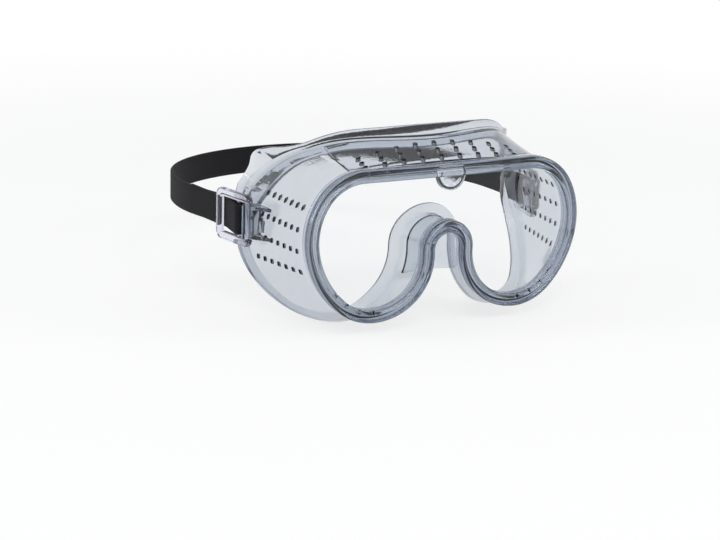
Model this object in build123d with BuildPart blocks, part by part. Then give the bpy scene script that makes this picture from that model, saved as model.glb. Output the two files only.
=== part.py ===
"""Clear splash goggles: a soft moulded frame, a sheet lens and an elastic strap in two swinging slides.

Millimetres. +Z is up and the lens faces -Y. The origin lies on the mid-plane, level with the middle of
the lens, where the frame meets the forehead. The wearer's right side is -X.
"""

import os
from math import cos, radians, sin

from build123d import *

# Outline of the rim, right half: arcs that run into each other, from the top round to the nose arch.
RIM_TOP_Z = 39.0
RIM_JOINTS = [
    (47.4, 38.9),
    (72.2, 24.8),
    (77.3, -2.3),
    (61.0, -31.6),
    (41.3, -39.2),
    (26.7, -36.2),
    (7.9, -5.1),
    (0.0, 3.5),
]

# The same outline where the skirt would end if the face did not cut it short.
SKIRT_TOP_Z = 88.9
SKIRT_JOINTS = [
    (65.0, 47.5),
    (75.0, 24.2),
    (83.5, -2.4),
    (81.4, -48.9),
    (54.5, -67.2),
    (35.5, -56.1),
    (21.6, -10.3),
    (0.0, 10.7),
]

# Lens and rim
LENS_Y = -22.0
LENS_BOW_RADIUS = 1034.0
LENS_THICKNESS = 1.5
LENS_CLEARANCE = 0.15
LENS_BITE = 3.0
RIM_WIDTH = 6.5
RIM_OUTER_BEVEL = 0.5
RIM_INNER_BEVEL = 1.4
LIP_THICKNESS = 2.6
RIDGE_WIDTH = 1.7
CHANNEL_WIDTH = 2.2
CHANNEL_DEPTH = 1.1

# Skirt and face seal
SKIRT_WALL = 1.8
SKIRT_SET_IN = 2.4
SKIRT_LENGTH = 79.0
FOREHEAD_RADIUS = 80.0
SEAL_WIDTH = 5.0
SEAL_THICKNESS = 1.6
CHEEK_LINE = [(-16.0, -50.0), (18.0, -39.0), (45.5, -16.0), (54.0, 8.0), (51.0, 36.0)]
CHEEK_SKIN_LIFT = 0.6
BROW_LIP_TOP_Z = 55.0
BROW_LIP_JOINTS = [(36.0, 53.0), (55.0, 46.2), (68.5, 40.5), (75.4, 32.0), (78.8, 22.8), (81.4, 10.0)]
BROW_LIP_WIDTH = 7.0
BROW_LIP_THICKNESS = 1.8
NOSE_WEB_BOTTOM_Z = -23.0
NOSE_WEB_THICKNESS = 1.4
NOSE_WEB_SAG = 3.0
NOSE_WEB_Y = -6.0

# Vents
SIDE_VENT_ROWS = 4
SIDE_VENT_COLUMNS = 7
SIDE_VENT_ROW_PITCH = 10.8
SIDE_VENT_COLUMN_PITCH = 5.9
SIDE_VENT_TOP_Z = 18.8
SIDE_VENT_FRONT_Y = -6.5
TOP_VENT_ROWS = 3
TOP_VENT_COLUMNS = 9
TOP_VENT_ROW_PITCH = 4.0
TOP_VENT_COLUMN_PITCH = 10.7
TOP_VENT_FRONT_Y = -14.0
VENT_WIDTH = 1.7
VENT_HEIGHT = 2.7
PANEL_HALF_WIDTH = 52.0
PANEL_RISE = 0.8
PANEL_FRONT_Y = -17.0
PANEL_BACK_GAP = 4.0

# Drain slots through the front lip, round the rim's lowest arc
DRAIN_COUNT = 4
DRAIN_INSET = 5.2
DRAIN_LENGTH = 1.5
DRAIN_WIDTH = 2.4
DRAIN_FIRST_ANGLE = -88.0
DRAIN_SPAN = 54.0

# Thumb tab over the lens
TAB_RADIUS = 8.2
TAB_CENTRE_Z = 33.6
TAB_THICKNESS = 2.1
TAB_CLEARANCE = 0.2
TAB_ROUND = 0.8

# Slides that carry the strap, and the lugs on the frame that they swing in
HINGE_X = 85.6
HINGE_Y = 30.5
HINGE_Z = 4.5
HINGE_BAR_RADIUS = 1.5
HINGE_CLEARANCE = 0.08
LUG_WALL = 1.6
LUG_HEIGHT = 17.0
LUG_MOUTH_HALF_ANGLE = 35.0
LUG_MOUTH_TURN = -45.0
LUG_ROOT_X = 79.2
LUG_WEB_WIDTH = 3.6
LUG_RIB_LENGTH = 12.0
LUG_RIB_THICKNESS = 1.8
SLIDE_ANGLE = 10.0
SLIDE_NOSE = 2.5
SLIDE_LENGTH = 29.5
SLIDE_HEIGHT = 27.0
SLIDE_THICKNESS = 3.0
SLIDE_RAIL = 4.2
SLIDE_REAR_BAR = 3.8
SLIDE_CORNER_RADIUS = 4.5
SLIDE_WINDOW_RADIUS = 1.2
MID_BAR_OFFSET = 7.5
MID_BAR_WIDTH = 2.2
MID_BAR_THICKNESS = 1.8

# Elastic strap, from the fold round the slide's middle bar to the back of the head
STRAP_WIDTH = 15.5
STRAP_THICKNESS = 1.6
STRAP_GAP = 0.3
STRAP_LAYER_GAP = 0.6
STRAP_TILT = 3.3
STRAP_BACK_Y = 196.0
STRAP_JOINTS = [(79.0, 145.0), (89.0, 90.0)]
FOLD_FRONT = 4.6
FOLD_RISE = 3.2
FOLD_DROP = 2.0
FOLD_RADIUS = 2.3
FOLD_BEND_RADIUS = 6.0
FOLD_EXIT = 30.0
TAIL_REACH = 58.0
TAIL_INWARD = 1.8
TAIL_BEND_RADIUS = 40.0

# How far cutting shapes run past what they cut: everywhere, and just clear of the rim
FAR = 300.0
CUT_PAST = 5.0


def inset_point(point, tangent, inset):
    """Moves a point of a clockwise outline inwards, square to the outline."""
    return Vector(point) + Vector(tangent.Y, -tangent.X) * inset


def tangent_arcs(top_z, joints):
    """Arcs that run into each other, level at the mid-plane and then from joint to joint."""
    arcs = []
    start = Vector(0, top_z)
    tangent = Vector(1, 0)
    for joint in joints:
        arcs.append(TangentArc(start, joint, tangent=tangent, mode=Mode.PRIVATE))
        start = Vector(joint)
        tangent = arcs[-1] % 1
    return arcs


def outline_sketch(plane, top_z, joints, inset=0.0):
    """Fills the goggle outline, drawn as tangent arcs and mirrored in the mid-plane."""
    arcs = tangent_arcs(top_z, joints)
    with BuildSketch(plane) as sketch:
        with BuildLine():
            for arc in arcs:
                end_tangent = Vector(-1, 0) if arc is arcs[-1] else arc % 1
                TangentArc(
                    inset_point(arc @ 0, arc % 0, inset),
                    inset_point(arc @ 1, end_tangent, inset),
                    tangent=arc % 0,
                )
            mirror(about=Plane.YZ)
        make_face()
    return sketch.sketch


def facing_plane(y):
    """A plane square to the line of sight, at a distance in front of or behind the origin."""
    return Plane.XZ.offset(-y)


def bow_strip(front, back):
    """Plan of the space between two surfaces that bow as the lens does, at depths from its middle."""
    with BuildSketch() as strip:
        with Locations((0, LENS_Y + LENS_BOW_RADIUS)):
            Circle(LENS_BOW_RADIUS - front)
            Circle(LENS_BOW_RADIUS - back, mode=Mode.SUBTRACT)
        with Locations((0, LENS_Y)):
            Rectangle(2 * FAR, FAR, mode=Mode.INTERSECT)
    return strip.sketch


def bowed_slab(inset, front, back):
    """The rim outline, inset and cut to a slab that bows as the lens does."""
    outline = outline_sketch(Plane.XZ, RIM_TOP_Z, RIM_JOINTS, inset)
    strip = bow_strip(front, back)
    with BuildPart() as slab:
        extrude(outline, amount=FAR, both=True)
        extrude(strip, amount=FAR, both=True, mode=Mode.INTERSECT)
    return slab.part


half_lens = LENS_THICKNESS / 2
half_groove = half_lens + LENS_CLEARANCE
rim_front = -half_groove - LIP_THICKNESS
rim_back = half_groove + LIP_THICKNESS
lens_inset = RIM_WIDTH - LENS_BITE
skirt_start_y = LENS_Y + half_groove + LIP_THICKNESS / 2
lower_corner = RIM_JOINTS[3]
nose_web_half_width = RIM_JOINTS[-3][0]
nose_web_top_z = SKIRT_JOINTS[-1][1]
well_before = rim_front - CUT_PAST
well_behind = rim_back + CUT_PAST


def skirt_solid(inset):
    """The skirt as a solid, from the rim back past the face, inset by part of its wall."""
    front = outline_sketch(facing_plane(skirt_start_y), RIM_TOP_Z, RIM_JOINTS, SKIRT_SET_IN + inset)
    back = outline_sketch(facing_plane(skirt_start_y + SKIRT_LENGTH), SKIRT_TOP_Z, SKIRT_JOINTS, inset)
    with BuildPart() as skirt:
        loft([front, back], ruled=True)
    return skirt.part


def face_form(grow):
    """The space of the face: a round forehead and the line of the cheeks, grown by a thickness."""
    with BuildPart() as form:
        with BuildSketch():
            with Locations((0, FOREHEAD_RADIUS)):
                Circle(FOREHEAD_RADIUS + grow)
        extrude(amount=FAR, both=True)
        with BuildSketch(Plane.YZ):
            with BuildLine():
                cheek = Spline(*[(y - grow, z + grow * CHEEK_SKIN_LIFT) for y, z in CHEEK_LINE])
                Polyline(
                    cheek @ 1,
                    ((cheek @ 1).X, FAR),
                    (FAR, FAR),
                    (FAR, -FAR),
                    ((cheek @ 0).X, -FAR),
                    cheek @ 0,
                )
            make_face()
        extrude(amount=FAR, both=True)
    return form.part


def side_vents():
    """Cutters for the slots in the left side wall."""
    middle_y = SIDE_VENT_FRONT_Y + SIDE_VENT_COLUMN_PITCH * (SIDE_VENT_COLUMNS - 1) / 2
    middle_z = SIDE_VENT_TOP_Z - SIDE_VENT_ROW_PITCH * (SIDE_VENT_ROWS - 1) / 2
    with BuildPart() as slots:
        with BuildSketch(Plane.YZ.offset(lower_corner[0])):
            with Locations((middle_y, middle_z)):
                with GridLocations(
                    SIDE_VENT_COLUMN_PITCH, SIDE_VENT_ROW_PITCH, SIDE_VENT_COLUMNS, SIDE_VENT_ROWS
                ):
                    Rectangle(VENT_WIDTH, VENT_HEIGHT)
        extrude(amount=FAR)
    return slots.part


def top_vents():
    """Cutters for the slots in the raised panel over the brow."""
    middle_y = TOP_VENT_FRONT_Y + TOP_VENT_ROW_PITCH * (TOP_VENT_ROWS - 1) / 2
    with BuildPart() as slots:
        with BuildSketch(Plane.XY.offset(RIM_TOP_Z - 2 * RIM_WIDTH)):
            with Locations((0, middle_y)):
                with GridLocations(
                    TOP_VENT_COLUMN_PITCH, TOP_VENT_ROW_PITCH, TOP_VENT_COLUMNS, TOP_VENT_ROWS
                ):
                    Rectangle(VENT_HEIGHT, VENT_WIDTH)
        extrude(amount=FAR)
    return slots.part


def brow_line(drop):
    """Right half of the brow lip's edge, dropped by part of the lip's width; gives the last arc."""
    for arc in tangent_arcs(BROW_LIP_TOP_Z, BROW_LIP_JOINTS):
        edge = TangentArc(
            inset_point(arc @ 0, arc % 0, drop), inset_point(arc @ 1, arc % 1, drop), tangent=arc % 0
        )
    return edge


slide_along = Vector(sin(radians(SLIDE_ANGLE)), cos(radians(SLIDE_ANGLE)))
slide_out = Vector(cos(radians(SLIDE_ANGLE)), -sin(radians(SLIDE_ANGLE)))
hinge = Vector(HINGE_X, HINGE_Y, HINGE_Z)
slide_face = Plane(origin=hinge, x_dir=slide_along, z_dir=slide_out)
slide_plan = Plane(origin=hinge, x_dir=slide_along, z_dir=(0, 0, -1))
window_height = SLIDE_HEIGHT - 2 * SLIDE_RAIL
slide_end = SLIDE_LENGTH - SLIDE_NOSE
rear_bar_front = slide_end - SLIDE_REAR_BAR
bore_radius = HINGE_BAR_RADIUS + HINGE_CLEARANCE
outer_layer = -(SLIDE_THICKNESS / 2 + STRAP_GAP + STRAP_THICKNESS / 2)
inner_layer = outer_layer - STRAP_THICKNESS - STRAP_LAYER_GAP


skirt_outside = skirt_solid(0)
skirt_inside = skirt_solid(SKIRT_WALL)
skirt_core = skirt_solid(SKIRT_WALL / 2)
panel_outside = skirt_solid(-PANEL_RISE)
seal_inside = skirt_solid(SKIRT_WALL + SEAL_WIDTH)
face = face_form(0)
face_skin = face_form(SEAL_THICKNESS)
lip_skin = face_form(BROW_LIP_THICKNESS)
rim_block = bowed_slab(0, rim_front, rim_back)
opening = bowed_slab(RIM_WIDTH, well_before, well_behind)
channel_block = bowed_slab(RIDGE_WIDTH, well_before, rim_front + CHANNEL_DEPTH)
channel_core = bowed_slab(RIDGE_WIDTH + CHANNEL_WIDTH, well_before - CUT_PAST, 0)
lens_pocket = bowed_slab(lens_inset - LENS_CLEARANCE, -half_groove, half_groove)
lens_sheet = bowed_slab(lens_inset, -half_lens, half_lens)

wall_vents = side_vents()
brow_vents = top_vents()

with BuildPart() as rim:
    add(rim_block)
    add(opening, mode=Mode.SUBTRACT)
    chamfer(rim.faces().sort_by(Axis.Y)[0].outer_wire().edges(), RIM_OUTER_BEVEL)
    chamfer(rim.faces().sort_by(Axis.Y)[0].inner_wires()[0].edges(), RIM_INNER_BEVEL)

with BuildPart() as channel:
    add(channel_block)
    add(channel_core, mode=Mode.SUBTRACT)

drain_arc = tangent_arcs(RIM_TOP_Z, RIM_JOINTS)[4]
with BuildPart() as drain_slots:
    with BuildSketch(Plane.XZ):
        with Locations(drain_arc.arc_center):
            with PolarLocations(
                drain_arc.radius - DRAIN_INSET, DRAIN_COUNT, DRAIN_FIRST_ANGLE, DRAIN_SPAN, endpoint=True
            ):
                Rectangle(DRAIN_WIDTH, DRAIN_LENGTH)
        mirror(about=Plane.YZ)
    extrude(amount=FAR, both=True)
    extrude(bow_strip(well_before, -half_lens), amount=FAR, both=True, mode=Mode.INTERSECT)

with BuildPart() as eye_space:
    add(skirt_inside)
    add(face_skin, mode=Mode.SUBTRACT)

with BuildPart() as brow_lip:
    add(lip_skin)
    add(face, mode=Mode.SUBTRACT)
    with BuildSketch(Plane.XZ):
        with BuildLine():
            upper = brow_line(0)
            brow_line(BROW_LIP_WIDTH)
            JernArc(upper @ 1, upper % 1, BROW_LIP_WIDTH / 2, -180)
            mirror(about=Plane.YZ)
        make_face()
    extrude(amount=FAR, both=True, mode=Mode.INTERSECT)

with BuildPart() as panel:
    add(panel_outside)
    add(skirt_inside, mode=Mode.SUBTRACT)
    with BuildSketch(Plane.XY.offset(RIM_TOP_Z - RIM_WIDTH)):
        with Locations((0, PANEL_FRONT_Y)):
            Rectangle(2 * PANEL_HALF_WIDTH, FAR, align=(Align.CENTER, Align.MIN))
        with Locations((0, FOREHEAD_RADIUS)):
            Circle(FOREHEAD_RADIUS + PANEL_BACK_GAP, mode=Mode.SUBTRACT)
        with Locations((0, PANEL_FRONT_Y)):
            Rectangle(FAR, FOREHEAD_RADIUS, align=(Align.CENTER, Align.MIN), mode=Mode.INTERSECT)
    extrude(amount=FAR, mode=Mode.INTERSECT)

with BuildPart() as nose_web:
    with BuildSketch(facing_plane(NOSE_WEB_Y)):
        with BuildLine():
            bottom = ThreePointArc(
                (-nose_web_half_width, NOSE_WEB_BOTTOM_Z),
                (0, NOSE_WEB_BOTTOM_Z + NOSE_WEB_SAG),
                (nose_web_half_width, NOSE_WEB_BOTTOM_Z),
            )
            Polyline(
                bottom @ 0,
                (-nose_web_half_width, nose_web_top_z),
                (nose_web_half_width, nose_web_top_z),
                bottom @ 1,
            )
        make_face()
    extrude(amount=-NOSE_WEB_THICKNESS)
    add(skirt_core, mode=Mode.SUBTRACT)

with BuildPart() as tab:
    with BuildSketch(facing_plane(LENS_Y - half_groove - TAB_CLEARANCE)):
        with Locations((0, TAB_CENTRE_Z)):
            Circle(TAB_RADIUS)
        with Locations((0, RIM_TOP_Z - RIDGE_WIDTH / 2)):
            Rectangle(2 * TAB_RADIUS, 2 * TAB_RADIUS, align=(Align.CENTER, Align.MAX), mode=Mode.INTERSECT)
    extrude(amount=TAB_THICKNESS)
    fillet(tab.faces().sort_by(Axis.Y)[0].edges().filter_by(GeomType.CIRCLE), TAB_ROUND)

with BuildPart() as lug:
    with BuildSketch(Plane.XY.offset(HINGE_Z)):
        with Locations((HINGE_X, HINGE_Y)):
            Circle(bore_radius + LUG_WALL)
        with Locations(((LUG_ROOT_X + HINGE_X) / 2, HINGE_Y)):
            Rectangle(HINGE_X - LUG_ROOT_X, LUG_WEB_WIDTH)
    extrude(amount=LUG_HEIGHT / 2, both=True)
    for rib_side in (-1, 1):
        with BuildSketch(Plane.XY.offset(HINGE_Z + rib_side * LUG_HEIGHT / 2)):
            with BuildLine():
                Polyline(
                    (LUG_ROOT_X - SKIRT_WALL / 2, HINGE_Y - LUG_RIB_LENGTH),
                    (HINGE_X, HINGE_Y - bore_radius - LUG_WALL),
                    (HINGE_X, HINGE_Y),
                    (LUG_ROOT_X, HINGE_Y),
                    close=True,
                )
            make_face()
        extrude(amount=-rib_side * LUG_RIB_THICKNESS)
    with BuildSketch(Plane.XY.offset(HINGE_Z)):
        with Locations((HINGE_X, HINGE_Y)):
            Circle(bore_radius)
    extrude(amount=LUG_HEIGHT, both=True, mode=Mode.SUBTRACT)
    with BuildSketch(Plane.XY.offset(HINGE_Z)):
        with BuildLine():
            Polyline(
                (HINGE_X, HINGE_Y),
                hinge + Vector(LUG_HEIGHT, 0).rotate(Axis.Z, LUG_MOUTH_TURN - LUG_MOUTH_HALF_ANGLE),
                hinge + Vector(LUG_HEIGHT, 0).rotate(Axis.Z, LUG_MOUTH_TURN + LUG_MOUTH_HALF_ANGLE),
                close=True,
            )
        make_face()
    extrude(amount=LUG_HEIGHT, both=True, mode=Mode.SUBTRACT)

with BuildPart() as side_fittings:
    add(lug.part)
    mirror(about=Plane.YZ)

with BuildPart() as side_slots:
    add(wall_vents)
    mirror(about=Plane.YZ)

with BuildPart() as frame:
    add(skirt_outside)
    add(eye_space.part, mode=Mode.SUBTRACT)
    add(seal_inside, mode=Mode.SUBTRACT)
    add(face, mode=Mode.SUBTRACT)
    add(panel.part)
    add(brow_lip.part)
    add(nose_web.part)
    add(rim.part)
    add(channel.part, mode=Mode.SUBTRACT)
    add(lens_pocket, mode=Mode.SUBTRACT)
    add(tab.part)
    add(side_slots.part, mode=Mode.SUBTRACT)
    add(brow_vents, mode=Mode.SUBTRACT)
    add(drain_slots.part, mode=Mode.SUBTRACT)
    add(side_fittings.part)
frame.part.label = "frame"

with BuildPart() as lens:
    add(lens_sheet)
lens.part.label = "lens"

with BuildPart() as strap_slide:
    with BuildSketch(slide_face):
        with Locations((slide_end - SLIDE_LENGTH / 2, 0)):
            RectangleRounded(SLIDE_LENGTH, SLIDE_HEIGHT, SLIDE_CORNER_RADIUS)
        with Locations(((MID_BAR_OFFSET - SLIDE_NOSE) / 2, 0)):
            Rectangle(MID_BAR_OFFSET + SLIDE_NOSE, window_height, mode=Mode.SUBTRACT)
        with Locations(((MID_BAR_OFFSET + rear_bar_front) / 2, 0)):
            RectangleRounded(
                rear_bar_front - MID_BAR_OFFSET, window_height, SLIDE_WINDOW_RADIUS, mode=Mode.SUBTRACT
            )
        with Locations((MID_BAR_OFFSET + SLIDE_WINDOW_RADIUS, 0)):
            Rectangle(2 * SLIDE_WINDOW_RADIUS, window_height, mode=Mode.SUBTRACT)
    extrude(amount=SLIDE_THICKNESS / 2, both=True)
    with BuildSketch(slide_face):
        with Locations((MID_BAR_OFFSET, 0)):
            Rectangle(MID_BAR_WIDTH, window_height)
    extrude(amount=MID_BAR_THICKNESS / 2, both=True)
    with BuildSketch(slide_plan):
        Circle(HINGE_BAR_RADIUS)
    extrude(amount=window_height / 2, both=True)

with BuildPart() as strap_end:
    with BuildSketch(slide_plan) as end_profile:
        with BuildLine():
            FilletPolyline(
                (FOLD_EXIT, inner_layer),
                (rear_bar_front - STRAP_GAP, inner_layer),
                (FOLD_FRONT, -FOLD_DROP),
                (FOLD_FRONT, FOLD_RISE),
                (rear_bar_front - STRAP_GAP, outer_layer),
                (FOLD_EXIT, outer_layer),
                (TAIL_REACH, outer_layer - TAIL_INWARD),
                radius=[FOLD_BEND_RADIUS, FOLD_RADIUS, FOLD_RADIUS, FOLD_BEND_RADIUS, TAIL_BEND_RADIUS],
            )
        trace(line_width=STRAP_THICKNESS)
    extrude(amount=STRAP_WIDTH / 2, both=True)

strap_start = hinge + slide_along * (FOLD_EXIT + STRAP_GAP) + slide_out * inner_layer
strap_plane = Plane(
    origin=(0, strap_start.Y, HINGE_Z),
    x_dir=(1, 0, 0),
    z_dir=(0, sin(radians(STRAP_TILT)), cos(radians(STRAP_TILT))),
)


def strap_stretch(index):
    """One arc of the strap's left half, counted from the back of the head, as a flat band."""
    start = Vector(0, STRAP_BACK_Y - strap_start.Y)
    tangent = Vector(1, 0)
    joints = [Vector(x, y - strap_start.Y) for x, y in STRAP_JOINTS] + [Vector(strap_start.X, 0)]
    with BuildPart() as band:
        with BuildSketch(strap_plane):
            with BuildLine():
                for number, joint in enumerate(joints):
                    arc = TangentArc(start, joint, tangent=tangent, mode=Mode.PRIVATE)
                    if number == index:
                        gap_share = STRAP_GAP / 2 / arc.length
                        add(arc.trim(gap_share if index else 0, 1 - gap_share))
                    start = joint
                    tangent = arc % 1
            trace(line_width=STRAP_THICKNESS)
        extrude(amount=STRAP_WIDTH / 2, both=True)
    return band.part


back_stretch = strap_stretch(0)
temple_stretch = strap_stretch(1)
side_stretch = strap_stretch(2)

with BuildPart() as strap_back:
    add(back_stretch)
    mirror(about=Plane.YZ)
strap_back.part.label = "strap_back"

os.makedirs("parts", exist_ok=True)
export_step(frame.part, "parts/frame.step")
export_step(lens.part, "parts/lens.step")
export_step(strap_back.part, "parts/strap_back.step")

paired = {
    "strap_slide": strap_slide.part,
    "strap_end": strap_end.part,
    "strap_side": side_stretch,
    "strap_temple": temple_stretch,
}
for name, left_piece in paired.items():
    left_piece.label = name + "_left"
    export_step(left_piece, "parts/" + left_piece.label + ".step")
    with BuildPart() as right_piece:
        mirror(left_piece, about=Plane.YZ)
    right_piece.part.label = name + "_right"
    export_step(right_piece.part, "parts/" + right_piece.part.label + ".step")
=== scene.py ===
"""Clear splash goggles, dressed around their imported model.

A soft clear vinyl frame with slotted vents and a turned-in face seal, a bowed polycarbonate lens in its
rim, two hard clear slides that swing in lugs on the frame, and a black elastic strap folded round their
middle bars. Metres, +Z up, the lens faces -Y and the wearer's left side is +X. Angles that are fields are in
degrees.
"""

import logging
import math
from collections.abc import Callable, Iterable, Sequence
from dataclasses import dataclass, field
from enum import Enum
from itertools import product
from typing import Any

import bmesh
import bpy
from mathutils import Matrix, Vector

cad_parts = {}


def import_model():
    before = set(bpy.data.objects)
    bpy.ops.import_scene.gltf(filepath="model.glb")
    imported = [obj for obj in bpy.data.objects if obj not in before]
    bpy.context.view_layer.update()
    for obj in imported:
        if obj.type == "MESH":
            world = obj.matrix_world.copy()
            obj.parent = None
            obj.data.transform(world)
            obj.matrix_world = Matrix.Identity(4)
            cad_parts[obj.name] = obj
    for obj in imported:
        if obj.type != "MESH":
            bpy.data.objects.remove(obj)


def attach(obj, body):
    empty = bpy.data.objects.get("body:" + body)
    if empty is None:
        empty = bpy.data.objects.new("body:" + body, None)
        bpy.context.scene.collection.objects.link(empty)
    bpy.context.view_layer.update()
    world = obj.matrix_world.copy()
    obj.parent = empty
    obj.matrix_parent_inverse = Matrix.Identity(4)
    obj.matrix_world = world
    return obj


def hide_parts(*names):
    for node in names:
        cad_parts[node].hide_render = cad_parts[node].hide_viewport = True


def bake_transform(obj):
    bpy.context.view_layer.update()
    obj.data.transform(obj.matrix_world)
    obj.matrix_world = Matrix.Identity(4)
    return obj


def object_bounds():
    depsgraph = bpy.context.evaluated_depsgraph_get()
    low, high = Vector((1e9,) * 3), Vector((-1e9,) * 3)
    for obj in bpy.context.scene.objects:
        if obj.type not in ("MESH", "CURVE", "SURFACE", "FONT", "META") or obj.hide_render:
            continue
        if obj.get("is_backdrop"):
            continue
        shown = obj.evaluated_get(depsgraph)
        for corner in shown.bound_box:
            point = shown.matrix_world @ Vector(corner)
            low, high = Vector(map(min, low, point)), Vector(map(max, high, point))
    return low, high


log = logging.getLogger("goggles")

Point2 = tuple[float, float]
Point3 = tuple[float, float, float]
Colour = tuple[float, float, float]

MM = 0.001
# A turn in radians, or a share, that is too small to matter.
TINY = 1e-6
# Steps across a rounding, for most edges and for the smallest ones.
ROUND_STEPS = 3
FINE_STEPS = 2
# The middle of the left slide's hinge, which the right one mirrors.
HINGE: Point3 = (85.6 * MM, 30.5 * MM, 4.5 * MM)
# Lays an upright rod down along its own Y.
LYING = Matrix.Rotation(math.pi / 2, 4, "X")


class Side(Enum):
    """The wearer's side that a piece is on, as the sign of its X."""

    LEFT = 1
    RIGHT = -1


class Cut(Enum):
    """How one closed mesh changes another."""

    JOIN = "UNION"
    REMOVE = "DIFFERENCE"


# ---------------------------------------------------------------- shader graphs


class Value:
    """A number in a node tree, so that shader maths reads as an expression."""

    def __init__(self, graph: "Graph", socket: bpy.types.NodeSocket) -> None:
        """Wraps an output socket of a graph."""
        self.graph = graph
        self.socket = socket

    def _math(self, operation: str, first: Any, second: Any = None) -> "Value":
        """Adds a Math node.

        Args:
            operation: the node's operation.
            first: its first value, a number or a Value.
            second: its second value, where it has one.

        Returns:
            The node's result.
        """
        inputs = {0: first} if second is None else {0: first, 1: second}
        made = self.graph.node("ShaderNodeMath", {"operation": operation}, inputs)
        return Value(self.graph, made.outputs[0])

    def __add__(self, other: Any) -> "Value":
        """Sum."""
        return self._math("ADD", self, other)

    def __radd__(self, other: Any) -> "Value":
        """Reflected sum."""
        return self._math("ADD", other, self)

    def __mul__(self, other: Any) -> "Value":
        """Product."""
        return self._math("MULTIPLY", self, other)

    def __rmul__(self, other: Any) -> "Value":
        """Reflected product."""
        return self._math("MULTIPLY", other, self)

    def sine(self) -> "Value":
        """Sine of the value in radians."""
        return self._math("SINE", self)

    def above(self, limit: float) -> "Value":
        """1 where the value is more than a limit, otherwise 0."""
        return self._math("GREATER_THAN", self, limit)


class Graph:
    """The node tree of one material or of the world."""

    def __init__(self, tree: bpy.types.NodeTree) -> None:
        """Empties the tree, ready for new nodes."""
        self.tree = tree
        tree.nodes.clear()

    def node(
        self, kind: str, settings: dict[str, Any] | None = None, inputs: dict[str | int, Any] | None = None
    ) -> bpy.types.Node:
        """Adds one node.

        Args:
            kind: the node's type name.
            settings: its settings, set before its sockets.
            inputs: constants, Values or output sockets for its input sockets, by name or number.

        Returns:
            The new node.
        """
        made = self.tree.nodes.new(kind)
        for name, value in (settings or {}).items():
            setattr(made, name, value)
        for name, value in (inputs or {}).items():
            socket = made.inputs[name]
            if isinstance(value, Value):
                self.tree.links.new(value.socket, socket)
            elif isinstance(value, bpy.types.NodeSocket):
                self.tree.links.new(value, socket)
            else:
                socket.default_value = value
        return made

    def place(self) -> bpy.types.NodeSocket:
        """The object coordinates of the surface point."""
        return self.node("ShaderNodeTexCoord").outputs["Object"]

    def noise(self, scale: float, detail: float = 2.0, roughness: float = 0.5) -> Value:
        """Smooth noise over the object's space.

        Args:
            scale: cells for each metre.
            detail: octaves.
            roughness: share that each octave keeps.

        Returns:
            The noise, about 0 to 1.
        """
        inputs = {"Vector": self.place(), "Scale": scale, "Detail": detail, "Roughness": roughness}
        return Value(self, self.node("ShaderNodeTexNoise", {}, inputs).outputs[0])

    def attribute(self, name: str) -> Value:
        """A number that the mesh carries at its points or on its faces."""
        return Value(self, self.node("ShaderNodeAttribute", {"attribute_name": name}).outputs["Fac"])

    def blend(self, share: Value, low: Sequence[float], high: Sequence[float]) -> bpy.types.NodeSocket:
        """Mixes two colours.

        Args:
            share: 0 gives the low colour and 1 the high one.
            low: linear colour.
            high: linear colour.

        Returns:
            The mixed colour.
        """
        # The node's colours are its sockets 6 and 7, and the mixed one is its output 2.
        inputs = {0: share, 6: (*low, 1.0), 7: (*high, 1.0)}
        return self.node("ShaderNodeMix", {"data_type": "RGBA"}, inputs).outputs[2]

    def bump(
        self, height: Value, distance: float, strength: float = 1.0, below: bpy.types.NodeSocket | None = None
    ) -> bpy.types.NodeSocket:
        """A bump on the surface normal.

        Args:
            height: relief, about 0 to 1.
            distance: metres for a height of 1.
            strength: share of the relief that shows.
            below: the normal of another bump to add to.

        Returns:
            The normal.
        """
        inputs = {"Height": height, "Distance": distance, "Strength": strength}
        if below is not None:
            inputs["Normal"] = below
        return self.node("ShaderNodeBump", {}, inputs).outputs[0]

    def seen_through(self) -> Value:
        """1 for what the eye sees plainly, in a reflection or through clear plastic, otherwise 0.

        Returns:
            The 1 or 0.
        """
        rays = self.node("ShaderNodeLightPath")
        kinds = ("Is Camera Ray", "Is Glossy Ray", "Is Transmission Ray")
        camera, glossy, transmitted = (Value(self, rays.outputs[kind]) for kind in kinds)
        return (camera + glossy + transmitted).above(0.5)

    def mix(self, share: Value, low: bpy.types.Node, high: bpy.types.Node) -> bpy.types.Node:
        """Mixes two shaders: a share of 0 gives the low one and 1 the high one."""
        inputs = {0: share, 1: low.outputs[0], 2: high.outputs[0]}
        return self.node("ShaderNodeMixShader", {}, inputs)

    def output(self, surface: bpy.types.Node, volume: bpy.types.Node | None = None) -> None:
        """Ends the graph in its surface shader and, where it has one, its volume shader.

        Args:
            surface: the surface shader.
            volume: the volume shader, where there is one.
        """
        inputs = {"Surface": surface.outputs[0]}
        if volume is not None:
            inputs["Volume"] = volume.outputs[0]
        self.node("ShaderNodeOutputMaterial", {}, inputs)


def new_graph(name: str) -> tuple[bpy.types.Material, Graph]:
    """A new material and its emptied graph.

    Args:
        name: the material's name.

    Returns:
        The material and its graph.
    """
    material = bpy.data.materials.new(name)
    material.use_nodes = True
    return material, Graph(material.node_tree)


# ---------------------------------------------------------------- finishes


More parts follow.
